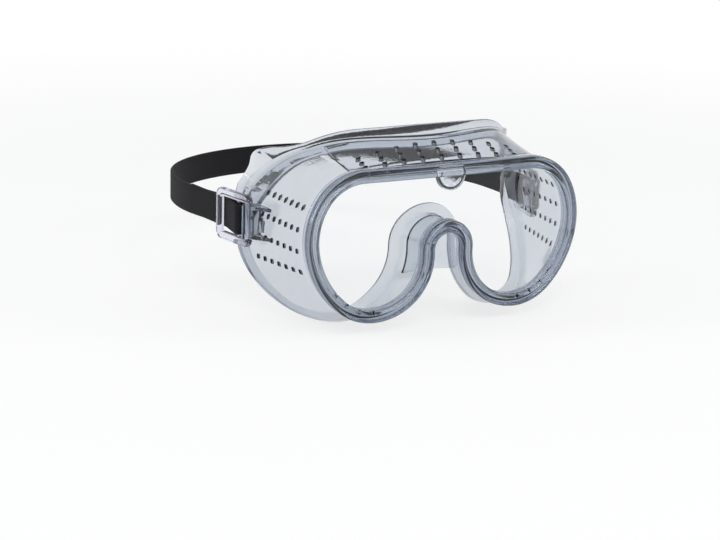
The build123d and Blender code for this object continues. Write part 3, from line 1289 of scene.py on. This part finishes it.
    def sweep(self) -> bpy.types.Object:
        """The rim, the walls and the seal as one closed sweep round the goggles.

        Returns:
            The sweep as an object.
        """
        shape = bmesh.new()
        rounded: dict[float, Ring] = {}
        first, ring = None, None
        for place, radius in self.section():
            ring = next_ring(shape, ring, [place(station) for station in self.shell.stations])
            first = first or ring
            rounded.setdefault(radius, []).extend(ring)
        bmesh.ops.bridge_loops(shape, edges=ring + first)
        for radius, edges in rounded.items():
            if radius:
                bmesh.ops.bevel(
                    shape,
                    geom=edges,
                    offset=radius,
                    offset_type="OFFSET",
                    affect="EDGES",
                    segments=ROUND_STEPS,
                    profile=0.5,
                    material=-1,
                    clamp_overlap=True,
                )
        bmesh.ops.recalc_face_normals(shape, faces=shape.faces)
        return object_from("frame_vinyl", shape)

    def brow_lip(self) -> bpy.types.Object:
        """The band that stands up from the walls against the forehead, with rounded ends.

        Returns:
            The lip as an object.
        """
        line = ArcLine(self.lip_top, scaled(self.lip_joints), ends_level=False)
        half = self.lip_width / 2
        spans = []
        for arc in range(len(line.arcs)):
            count = max(self.lip_least_steps, round(line.length(arc) / self.lip_pitch))
            shares = [step / count for step in range(count)]
            spans += [(line.at(arc, share), line.at(arc, share, self.lip_width)) for share in shares]
        last = len(line.arcs) - 1
        end, along = line.at(last, 1.0, half), line.tangent(last, 1.0)
        down = Vector((along.y, -along.x))
        for angle in self.lip_end_angles:
            out, across = half * math.sin(math.radians(angle)), half * math.cos(math.radians(angle))
            spans.append((end + along * out - down * across, end + along * out + down * across))
        halves = [(-1, span) for span in reversed(spans[1:])] + [(1, span) for span in spans]
        shape = bmesh.new()
        tube(shape, (self.lip_ring(side, upper, lower) for side, (upper, lower) in halves))
        made = object_from("brow_lip", shape)
        round_edges(made, self.lip_round, ROUND_STEPS, self.sharp)
        return made

    def lip_ring(self, side: int, upper: Vector, lower: Vector) -> list[Vector]:
        """The lip's four corners at one place.

        Args:
            side: the side as the sign of X.
            upper: the lip's upper edge, seen from the front.
            lower: its lower edge.

        Returns:
            The corners, first the two on the outside.
        """
        lifts = (self.lip_thickness, self.lip_thickness, self.lip_sunk, self.lip_sunk)
        return [
            Vector((side * flat.x, self.shell.skin_y(flat.x, flat.y, lift), flat.y))
            for flat, lift in zip((upper, lower, lower, upper), lifts)
        ]

    def top_panel(self) -> bpy.types.Object:
        """The raised panel over the brow, which the top vents go through.

        Returns:
            The panel as an object.
        """
        places = [s for s in self.shell.stations if (s.arc, s.share) < self.panel_end]
        left = [s for s in places if s.side < 0]
        right = [s for s in places if s.side > 0]
        shape = bmesh.new()
        ring = None
        steps = [step / self.wall_steps for step in range(self.wall_steps + 1)]
        for station in left + right:
            end = self.shell.wall_end(station, 0.0, self.panel_gap)
            depths = [self.panel_front + (end - self.panel_front) * share for share in steps]
            points = [self.shell.on_wall(station, -self.panel_rise, y) for y in depths]
            points += [self.shell.on_wall(station, self.wall / 3, y) for y in reversed(depths)]
            ring = next_ring(shape, ring, points)
        for side in (-1, 1):
            slice_at(shape, (side * self.panel_half_width, 0, 0), (side, 0, 0), clear=True)
        close_holes(shape)
        made = object_from("top_panel", shape)
        round_edges(made, self.panel_round, FINE_STEPS, self.sharp)
        return made

    def nose_web(self) -> bpy.types.Object:
        """The thin web across the top of the nose arch.

        Returns:
            The web as an object.
        """
        places = [s for s in self.shell.stations if s.arc >= self.web_arc]
        rim = [self.shell.on_wall(s, self.wall / 2, self.web_y) for s in places]
        arch = [p for p in rim if p.z > self.web_edge(p.x)]
        first, last = arch[-1].x, arch[0].x
        xs = [first + (last - first) * step / self.web_steps for step in range(self.web_steps + 1)]
        foot = [Vector((x, self.web_y, self.web_edge(x))) for x in xs]
        shape = bmesh.new()
        prism(shape, arch + foot, (0, self.web_thickness, 0))
        web = object_from("nose_web", shape)
        round_edges(web, self.web_round, FINE_STEPS, self.sharp)
        return web

    def web_edge(self, x: float) -> float:
        """The height of the web's lower edge, which arches up in the middle."""
        return self.web_bottom + self.web_arch * (1 - (x / self.web_half_width) ** 2)

    def thumb_tab(self) -> bpy.types.Object:
        """The round tab that holds the lens at the middle of the brow, dished on its front.

        Returns:
            The tab as an object.
        """
        shape = bmesh.new()
        centre = Matrix.Translation((0, self.tab_back - self.tab_thickness / 2, self.tab_z))
        rod(shape, centre @ LYING, self.tab_radius, self.tab_thickness, self.tab_segments)
        slice_at(shape, (0, 0, self.tab_top), (0, 0, 1), clear=True)
        close_holes(shape)
        front = min(shape.faces, key=lambda face: face.calc_center_median().y)
        bmesh.ops.inset_region(shape, faces=[front], thickness=self.tab_border, depth=0.0)
        bmesh.ops.inset_region(shape, faces=[front], thickness=self.tab_slope, depth=-self.tab_dish)
        made = object_from("thumb_tab", shape)
        round_edges(made, self.tab_round, ROUND_STEPS, self.tab_sharp)
        return made

    def slot_cutter(self, shape: bmesh.types.BMesh, matrix: Matrix, depth: float) -> None:
        """Adds a round-ended cutter, tall along its own Y, that reaches along its own Z.

        Args:
            shape: the mesh to add to.
            matrix: where the cutter starts and its axes.
            depth: how far it goes.
        """
        verts = bmesh.ops.create_circle(
            shape, cap_ends=True, segments=self.vent_segments, radius=self.vent_width / 2
        )["verts"]
        half_segment = Matrix.Rotation(math.pi / self.vent_segments, 3, "Z")
        bmesh.ops.rotate(shape, verts=verts, matrix=half_segment)
        reach = (self.vent_height - self.vent_width) / 2
        for vert in verts:
            vert.co.y += math.copysign(reach, vert.co.y)
        fresh = extrude(shape, list(verts[0].link_faces), (0, 0, depth))
        bmesh.ops.transform(shape, verts=verts + fresh, matrix=matrix)

    def vent_axes(self) -> list[tuple[Matrix, float]]:
        """Where each vent goes: its own axes, with Z along its depth, and how far it cuts.

        Returns:
            The axes and the depth of each vent.
        """
        places = []
        for side, column, row in product((-1, 1), range(self.side_vents[0]), range(self.side_vents[1])):
            y = self.side_vent_start[0] + self.side_vent_pitch[0] * column
            z = self.side_vent_start[1] - self.side_vent_pitch[1] * row
            axes = Matrix(((0, 0, side, side * self.side_vent_x), (1, 0, 0, y), (0, 1, 0, z), (0, 0, 0, 1)))
            places.append((axes, self.side_vent_reach))
        for column, row in product(range(self.top_vents[0]), range(self.top_vents[1])):
            x = self.top_vent_pitch[0] * (column - (self.top_vents[0] - 1) / 2)
            y = self.top_vent_y + self.top_vent_pitch[1] * row
            axes = Matrix(((0, 1, 0, x), (1, 0, 0, y), (0, 0, 1, self.top_vent_z), (0, 0, 0, 1)))
            places.append((axes, self.top_vent_reach))
        return places

    def mark_vent_shade(self, made: bpy.types.Object) -> int:
        """Marks the faces inside the vents, where the vinyl is rough from the punch and gets painted shade.

        Args:
            made: the finished moulding.

        Returns:
            How many faces were marked.
        """
        places = [(axes.inverted(), axes.col[2].xyz, reach) for axes, reach in self.vent_axes()]
        half_width = self.vent_width / 2 + self.vent_slack
        half_height = self.vent_height / 2 + self.vent_slack
        # The faces found here are painted near black, as shade in the holes.
        marks = made.data.attributes.new("vent_shade", "FLOAT", "FACE")
        count = 0
        for face in made.data.polygons:
            for inverse, axis, reach in places:
                if abs(face.normal.dot(axis)) < self.vent_side_slope:
                    across, along, depth = inverse @ face.center
                    if abs(across) < half_width and abs(along) < half_height and 0 < depth < reach:
                        marks.data[face.index].value = 1.0
                        count += 1
                        break
        return count

    def cutters(self) -> bpy.types.Object:
        """The shapes that cut the vents and the drain slots.

        Returns:
            The shapes as one object.
        """
        shape = bmesh.new()
        for axes, reach in self.vent_axes():
            self.slot_cutter(shape, axes, reach)
        start, tangent, step = self.shell.rim.arcs[self.drain_arc]
        turn = arc_turn(tangent, step)
        radius = step.length / (2 * math.sin(turn / 2))
        centre = start + Vector((tangent.y, -tangent.x)) * radius
        for side in (-1, 1):
            for angle in self.drain_angles:
                out = turned(Vector((1, 0)), math.radians(angle))
                middle = centre + out * (radius - self.drain_inset)
                low = (-self.drain_width / 2, self.drain_front, -self.drain_length / 2)
                high = (self.drain_width / 2, self.drain_back, self.drain_length / 2)
                verts = block(shape, low, high)
                place = Matrix.Translation((side * middle.x, self.shell.bow(middle.x), middle.y))
                spin = Matrix.Rotation(math.radians(-side * angle), 4, "Y")
                bmesh.ops.transform(shape, verts=verts, matrix=place @ spin)
        bmesh.ops.recalc_face_normals(shape, faces=shape.faces)
        return object_from("cutters", shape)

    def lug(self, side: Side) -> bpy.types.Object:
        """A split sleeve on the side wall, with a web and two ribs, that the slide's bar snaps into.

        Args:
            side: the side that it is on.

        Returns:
            The lug as an object.
        """
        x, y, z = HINGE
        outer, half = self.bore + self.lug_wall, self.lug_height / 2
        body = bmesh.new()
        rod(body, Matrix.Translation(HINGE), outer, self.lug_height, self.lug_segments)
        made = object_from("lug", body)
        web = bmesh.new()
        block(web, (self.lug_root, y - self.lug_web / 2, z - half), (x, y + self.lug_web / 2, z + half))
        combine(made, object_from("lug_web", web), Cut.JOIN)
        outline = ((self.rib_root, y - self.rib_length), (x, y - outer), (x, y), (self.lug_root, y))
        for low in (z - half, z + half - self.rib_thickness):
            rib = bmesh.new()
            prism(rib, [Vector((*corner, low)) for corner in outline], (0, 0, self.rib_thickness))
            combine(made, object_from("lug_rib", rib), Cut.JOIN)
        bore = bmesh.new()
        rod(bore, Matrix.Translation(HINGE), self.bore, 2 * self.lug_height, self.bore_segments)
        combine(made, object_from("lug_bore", bore), Cut.REMOVE)
        mouth = bmesh.new()
        foot = Vector((x, y, z - self.lug_height))
        rays = [Vector((math.cos(turn), math.sin(turn), 0)) for turn in map(math.radians, self.lug_mouth)]
        wedge = [foot] + [foot + ray * self.lug_height for ray in rays]
        prism(mouth, wedge, (0, 0, 2 * self.lug_height))
        combine(made, object_from("lug_mouth", mouth), Cut.REMOVE)
        round_edges(made, self.lug_round, FINE_STEPS, self.sharp)
        set_on_side(made, side)
        return made

    def build(self) -> bpy.types.Object:
        """Builds and dresses the moulding.

        Returns:
            The finished frame.
        """
        made = self.sweep()
        for part in (self.brow_lip(), self.top_panel(), self.nose_web(), self.thumb_tab()):
            combine(made, part, Cut.JOIN)
        combine(made, self.cutters(), Cut.REMOVE)
        for side in Side:
            combine(made, self.lug(side), Cut.JOIN)
        weld(made)
        finish_surface(made, VINYL.build(), self.smooth)
        log.info("vent faces: %d", self.mark_vent_shade(made))
        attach(made, "goggle_frame")
        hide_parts("frame")
        return made


# ---------------------------------------------------------------- lens


@dataclass
class Lens:
    """The bowed polycarbonate sheet in the groove of the rim, inset from the rim's outline."""

    shell: Shell
    inset: float = 3.5 * MM
    thickness: float = 1.5 * MM
    slice_width: float = 4.0 * MM
    edge_round: float = 0.2 * MM
    sharp: float = 60.0
    smooth: float = 12.0

    def build(self) -> bpy.types.Object:
        """Builds and dresses the lens.

        Returns:
            The finished lens.
        """
        shape = bmesh.new()
        stations = self.shell.stations
        flat = [self.shell.rim.at(s.arc, s.share, self.inset) for s in stations]
        points = [Vector((s.side * p.x, 0, p.y)) for s, p in zip(stations, flat)]
        bmesh.ops.contextual_create(shape, geom=closed_ring(shape, points))
        reach = max(point.x for point in points)
        count = math.ceil(2 * reach / self.slice_width)
        for step in range(1, count):
            slice_at(shape, (-reach + 2 * reach * step / count, 0, 0), (1, 0, 0), clear=False)
        for vert in shape.verts:
            vert.co.y = self.shell.bow(vert.co.x) - self.thickness / 2
        bmesh.ops.recalc_face_normals(shape, faces=shape.faces)
        extrude(shape, list(shape.faces), (0, self.thickness, 0))
        bmesh.ops.recalc_face_normals(shape, faces=shape.faces)
        bmesh.ops.triangulate(shape, faces=[face for face in shape.faces if len(face.verts) > 4])
        lens = object_from("lens_sheet", shape)
        round_edges(lens, self.edge_round, FINE_STEPS, self.sharp)
        weld(lens)
        finish_surface(lens, POLYCARBONATE.build(), self.smooth)
        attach(lens, "goggle_frame")
        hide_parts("lens")
        return lens


# ---------------------------------------------------------------- slides and strap


@dataclass
class Swing:
    """Axes of a slide at rest: along it from the hinge, up, and out from the wearer's head."""

    angle: float = 10.0

    def matrix(self) -> Matrix:
        """From the slide's own (along, up, out) to the wearer's left side of the goggles.

        Returns:
            The matrix.
        """
        c, s = math.cos(math.radians(self.angle)), math.sin(math.radians(self.angle))
        x, y, z = HINGE
        return Matrix(((s, 0, c, x), (c, 0, -s, y), (0, 1, 0, z), (0, 0, 0, 1)))

    def plan(self, along: float, out: float) -> Vector:
        """A point in plan from distances along the slide and out from it."""
        place = self.matrix() @ Vector((along, 0, out))
        return Vector((place.x, place.y))


def arc_points(centre: Point2, radius: float, first: float, last: float, steps: int) -> list[Vector]:
    """Points of an arc, from its first to its last angle in degrees."""
    angles = [math.radians(first + (last - first) * step / steps) for step in range(steps + 1)]
    return [Vector((centre[0] + radius * math.cos(a), centre[1] + radius * math.sin(a))) for a in angles]


@dataclass
class StrapSlide:
    """A hard clear loop with a round front bar in the lug and a middle bar that the strap folds round."""

    side: Side
    swing: Swing
    nose: float = 2.5 * MM
    length: float = 29.5 * MM
    height: float = 27.0 * MM
    thickness: float = 3.0 * MM
    rail: float = 4.2 * MM
    rear_bar: float = 3.8 * MM
    corner: float = 4.5 * MM
    corner_steps: int = 10
    mouth_steps: int = 8
    window_corner: float = 1.2 * MM
    window_steps: int = 5
    edge_round: float = 0.7 * MM
    bar_radius: float = 1.5 * MM
    bar_segments: int = 32
    mid_offset: float = 7.5 * MM
    mid_width: float = 2.2 * MM
    mid_thickness: float = 1.8 * MM
    mid_round: float = 0.4 * MM
    sharp: float = 45.0
    smooth: float = 40.0
    seat: float = 0.6 * MM

    def outline(self, half_window: float, end: float) -> list[Vector]:
        """The slide's face, open at the front where the round bar goes.

        Args:
            half_window: half the height of the window.
            end: how far behind the hinge the slide ends.

        Returns:
            The points, along and up, right round the loop and its window.
        """
        top, inner = self.height / 2 - self.corner, half_window - self.window_corner
        front, back = self.corner - self.nose, end - self.corner
        window_end = end - self.rear_bar - self.window_corner
        mouth = math.degrees(math.asin((half_window - top) / self.corner))
        return [
            *arc_points((front, top), self.corner, 180 - mouth, 90, self.mouth_steps),
            *arc_points((back, top), self.corner, 90, 0, self.corner_steps),
            *arc_points((back, -top), self.corner, 0, -90, self.corner_steps),
            *arc_points((front, -top), self.corner, -90, -180 + mouth, self.mouth_steps),
            *arc_points((window_end, -inner), self.window_corner, -90, 0, self.window_steps),
            *arc_points((window_end, inner), self.window_corner, 0, 90, self.window_steps),
        ]

    def build(self) -> bpy.types.Object:
        """Builds and dresses the slide.

        Returns:
            The finished slide.
        """
        side = self.side.name.lower()
        half_window = self.height / 2 - self.rail
        outline = self.outline(half_window, self.length - self.nose)
        shape = bmesh.new()
        prism(shape, [Vector((p.x, p.y, -self.thickness / 2)) for p in outline], (0, 0, self.thickness))
        slide = object_from("slide_" + side, shape)
        round_edges(slide, self.edge_round, ROUND_STEPS, self.sharp)
        reach = half_window + self.seat
        bar = bmesh.new()
        rod(bar, LYING, self.bar_radius, 2 * reach, self.bar_segments)
        combine(slide, object_from("front_bar", bar), Cut.JOIN)
        bar = bmesh.new()
        low = (self.mid_offset - self.mid_width / 2, -reach, -self.mid_thickness / 2)
        high = (self.mid_offset + self.mid_width / 2, reach, self.mid_thickness / 2)
        block(bar, low, high)
        middle = object_from("mid_bar", bar)
        round_edges(middle, self.mid_round, ROUND_STEPS, self.sharp)
        combine(slide, middle, Cut.JOIN)
        slide.data.transform(self.swing.matrix())
        set_on_side(slide, self.side)
        weld(slide)
        finish_surface(slide, SLIDE_PLASTIC.build(), self.smooth)
        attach(slide, "slide_" + side)
        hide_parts("strap_slide_" + side)
        return slide


def rounded_path(corners: Sequence[Vector], radii: Sequence[float], steps: int) -> list[Vector]:
    """A path of straight runs with an arc at each inner corner.

    Args:
        corners: the points, the first and last of which are its ends.
        radii: the radius at each inner corner.
        steps: how many steps an arc has.

    Returns:
        The path's points.
    """
    path = [corners[0]]
    for before, corner, after, radius in zip(corners, corners[1:], corners[2:], radii):
        back, ahead = (before - corner).normalized(), (after - corner).normalized()
        half = back.angle(ahead) / 2
        centre = corner + (back + ahead).normalized() * radius / math.sin(half)
        reach = radius / math.tan(half)
        start, end = corner + back * reach - centre, corner + ahead * reach - centre
        turn = start.angle_signed(end)
        path += [centre + turned(start, -turn * step / steps) for step in range(steps + 1)]
    return [*path, corners[-1]]


def spaced(path: Sequence[Vector], pitch: float) -> list[Vector]:
    """The same path with more points on its long runs.

    Args:
        path: the path's points.
        pitch: the longest step between two points.

    Returns:
        The points of the new path.
    """
    points = [path[0]]
    for a, b in zip(path, path[1:]):
        count = max(1, math.ceil((b - a).length / pitch))
        points += [a.lerp(b, step / count) for step in range(1, count + 1)]
    return points


@dataclass
class Strap:
    """The elastic strap: folded round each slide's middle bar, and round the back of the head."""

    swing: Swing
    material: bpy.types.Material
    width: float = 15.5 * MM
    thickness: float = 1.6 * MM
    edge: float = 0.5 * MM
    edge_share: float = 0.45
    smooth: float = 60.0
    # The line round the head, whose joints are X and Y in millimetres, and how steeply it drops to the back.
    tilt: float = 3.3
    back_y: float = 196.0 * MM
    joints: tuple[Point2, ...] = ((79.0, 145.0), (89.0, 90.0))
    pitch: float = 2.5 * MM
    # The fold through the slide: places along it from the hinge, and layers out from it.
    exit: float = 30.0 * MM
    gap: float = 0.3 * MM
    inner_layer: float = -4.8 * MM
    outer_layer: float = -2.6 * MM
    behind_bar: float = 22.9 * MM
    fold_front: float = 4.6 * MM
    fold_rise: float = 3.2 * MM
    fold_drop: float = 2.0 * MM
    tail_reach: float = 58.0 * MM
    tail_inward: float = 1.8 * MM
    fold_radii: tuple[float, ...] = (6.0 * MM, 2.3 * MM, 2.3 * MM, 6.0 * MM, 40.0 * MM)
    fold_steps: int = 8
    # Where the rear band ends and the fronts start, as Y.
    rear_start: float = 90.0 * MM
    rear_end: float = 145.0 * MM
    slack: float = 0.1 * MM

    def head_line(self) -> list[Vector]:
        """The left half of the strap's line in plan, from the back of the head to where the fold starts.

        Returns:
            The points of the line.
        """
        exit_point = self.swing.plan(self.exit, self.inner_layer)
        joints = (*scaled(self.joints), tuple(exit_point))
        line = ArcLine(0.0, tuple((x, y - self.back_y) for x, y in joints), ends_level=False)
        path = []
        for arc in range(len(line.arcs)):
            count = math.ceil(line.length(arc) / self.pitch)
            first = 1 if path else 0
            shares = [step / count for step in range(first, count + 1)]
            path += [line.at(arc, share) + Vector((0, self.back_y)) for share in shares]
        return path

    def fold_line(self) -> list[Vector]:
        """The strap's line in plan through the slide and on to the end of its tail.

        Returns:
            The points of the line.
        """
        corners = [
            self.swing.plan(self.exit, self.inner_layer),
            self.swing.plan(self.behind_bar, self.inner_layer),
            self.swing.plan(self.fold_front, -self.fold_drop),
            self.swing.plan(self.fold_front, self.fold_rise),
            self.swing.plan(self.behind_bar, self.outer_layer),
            self.swing.plan(self.exit, self.outer_layer),
            self.swing.plan(self.tail_reach, self.outer_layer - self.tail_inward),
        ]
        return rounded_path(corners, self.fold_radii, self.fold_steps)

    def centre_z(self, y: float) -> float:
        """The height of the strap's middle behind the slide, where it drops gently to the back."""
        start = self.swing.plan(self.exit, self.inner_layer).y
        return HINGE[2] - max(0.0, y - start) * math.tan(math.radians(self.tilt))

    def band(self, name: str, line: Sequence[Vector], heights: Sequence[float]) -> bpy.types.Object:
        """A stretch of webbing, which carries how far along and across it each point is.

        Args:
            name: its name.
            line: its middle in plan.
            heights: the height of its middle at each point.

        Returns:
            The stretch as an object.
        """
        half, deep = self.width / 2, self.thickness / 2
        across = [-half, -half + self.edge, -half / 2, 0.0, half / 2, half - self.edge, half]
        profile = [(a, deep if abs(a) < half else deep * self.edge_share) for a in across]
        profile += [(a, -d) for a, d in reversed(profile)]
        shape = bmesh.new()
        along_layer = shape.verts.layers.float.new("along")
        across_layer = shape.verts.layers.float.new("across")
        first, ring, travelled = None, None, 0.0
        for index, (point, height) in enumerate(zip(line, heights)):
            before, after = line[max(index - 1, 0)], line[min(index + 1, len(line) - 1)]
            tangent = (after - before).normalized()
            out = Vector((tangent.y, -tangent.x))
            travelled += (point - before).length
            points = [Vector((point.x + out.x * d, point.y + out.y * d, height + a)) for a, d in profile]
            ring = next_ring(shape, ring, points)
            first = first or ring
            for place, (a, _) in enumerate(profile):
                vert = first_vert(ring, place)
                vert[along_layer] = travelled
                vert[across_layer] = a
        close_ends(shape, first, ring)
        made = object_from(name, shape)
        finish_surface(made, self.material, self.smooth)
        return made

    def build(self) -> list[bpy.types.Object]:
        """Builds and dresses the strap's three pieces.

        Returns:
            The rear band and the two fronts.
        """
        half = self.head_line()
        split = next(index for index, point in enumerate(half) if point.y < self.rear_start - self.slack)
        rear, ahead = half[:split], half[split - 1 :]
        whole = [Vector((-point.x, point.y)) for point in reversed(rear[1:])] + rear
        made = [self.band("strap_rear", whole, [self.centre_z(p.y) for p in whole])]
        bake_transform(made[0])
        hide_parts("strap_back", "strap_temple_left", "strap_temple_right")
        fold = spaced(self.fold_line(), self.pitch)
        for side in Side:
            heights = [self.centre_z(p.y) for p in ahead] + [HINGE[2]] * (len(fold) - 1)
            name = side.name.lower()
            front = self.band("strap_front_" + name, ahead + fold[1:], heights)
            set_on_side(front, side)
            start = self.swing.plan(self.exit + self.gap, 0.0).y
            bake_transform(front)
            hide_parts("strap_end_" + name, "strap_side_" + name)
            made.append(front)
        return made


# ---------------------------------------------------------------- studio


@dataclass(frozen=True)
class SoftLamp:
    """A soft rectangular lamp that faces the goggles."""

    name: str
    place: Point3
    size: Point2
    power: float

    def hang(self) -> None:
        """Adds the lamp to the scene."""
        data = bpy.data.lights.new(self.name, "AREA")
        data.shape = "RECTANGLE"
        data.size, data.size_y = self.size
        data.energy = self.power
        lamp = bpy.data.objects.new(self.name, data)
        turn = (-Vector(self.place)).to_track_quat("-Z", "Y").to_matrix().to_4x4()
        lamp.matrix_world = Matrix.Translation(self.place) @ turn
        bpy.context.scene.collection.objects.link(lamp)


@dataclass
class Studio:
    """The floor, the lamps, the world and the camera."""

    floor_z: float
    floor_size: float = 12.0
    floor_cells: int = 8
    # The camera looks at its target from these angles, and is then moved aside and up without turning.
    azimuth: float = -27.99
    elevation: float = 15.25
    roll: float = 1.48
    distance: float = 1.085
    target: Point3 = (0.0, -22.0 * MM, 0.0)
    aside: float = -43.374 * MM
    above: float = -15.9 * MM
    focal_length: float = 107.815
    sensor: float = 36.0
    fill: float = 0.6
    fill_colour: Colour = (0.95, 0.97, 1.0)
    lamps: tuple[SoftLamp, ...] = (
        SoftLamp("key_lamp", (-0.25, -0.8, 0.95), (1.0, 0.22), 5.0),
        SoftLamp("side_lamp", (-1.1, 0.3, 0.55), (0.2, 0.8), 4.0),
        SoftLamp("fill_lamp", (0.9, -0.6, 0.5), (0.4, 0.5), 3.0),
    )

    def camera(self) -> None:
        """Stands the camera a little above and before the wearer's right, and aims it beside the goggles."""
        azimuth, elevation, roll = map(math.radians, (self.azimuth, self.elevation, self.roll))
        away = Vector((math.sin(azimuth), -math.cos(azimuth), 0)) * math.cos(elevation)
        back = away + Vector((0, 0, math.sin(elevation)))
        level = Vector((math.cos(azimuth), math.sin(azimuth), 0))
        upright = back.cross(level)
        right = level * math.cos(roll) + upright * math.sin(roll)
        up = upright * math.cos(roll) - level * math.sin(roll)
        place = Vector(self.target) + back * self.distance + right * self.aside + up * self.above
        data = bpy.data.cameras.new("camera")
        data.sensor_width = self.sensor
        data.lens = self.focal_length
        camera = bpy.data.objects.new("camera", data)
        camera.matrix_world = Matrix.Translation(place) @ Matrix((right, up, back)).transposed().to_4x4()
        bpy.context.scene.collection.objects.link(camera)
        bpy.context.scene.camera = camera

    def floor(self) -> None:
        """Lays the floor under the goggles."""
        shape = bmesh.new()
        cells = self.floor_cells
        bmesh.ops.create_grid(shape, x_segments=cells, y_segments=cells, size=self.floor_size / 2)
        bmesh.ops.translate(shape, verts=shape.verts, vec=(0, 0, self.floor_z))
        floor = object_from("floor", shape)
        floor.data.materials.append(PaleFloor().build())
        floor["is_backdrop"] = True

    def world(self) -> None:
        """Makes the world: white to the eye and in clear plastic, and a plain soft fill elsewhere."""
        world = bpy.data.worlds.new("studio")
        world.use_nodes = True
        graph = Graph(world.node_tree)
        white = graph.node("ShaderNodeBackground", {}, {"Color": (1, 1, 1, 1), "Strength": 1.0})
        soft = {"Color": (*self.fill_colour, 1), "Strength": self.fill}
        fill = graph.node("ShaderNodeBackground", {}, soft)
        mixed = graph.mix(graph.seen_through(), fill, white)
        graph.node("ShaderNodeOutputWorld", {}, {"Surface": mixed.outputs[0]})
        bpy.context.scene.world = world

    def build(self) -> None:
        """Sets up the whole studio."""
        self.camera()
        self.floor()
        self.world()
        for lamp in self.lamps:
            lamp.hang()
        bpy.context.scene.view_settings.view_transform = "Standard"


# ---------------------------------------------------------------- making


def corners(bounds: Any) -> list[list[float]]:
    """A box's two corners as plain lists."""
    return [[float(number) for number in corner] for corner in bounds]


def main() -> None:
    """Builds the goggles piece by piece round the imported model."""
    logging.basicConfig(level=logging.INFO, format="%(message)s")
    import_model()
    cad_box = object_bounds()
    Studio(floor_z=cad_box[0][2]).build()
    shell, swing = Shell(), Swing()
    pieces = [Frame(shell).build(), Lens(shell).build()]
    pieces += [StrapSlide(side, swing).build() for side in Side]
    pieces += Strap(swing, Webbing().build()).build()
    for piece in pieces:
        log.info("%s: %d faces", piece.name, len(piece.data.polygons))
    sizes = {"cad": corners(cad_box), "visual": corners(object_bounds())}


if __name__ == "__main__":
    main()
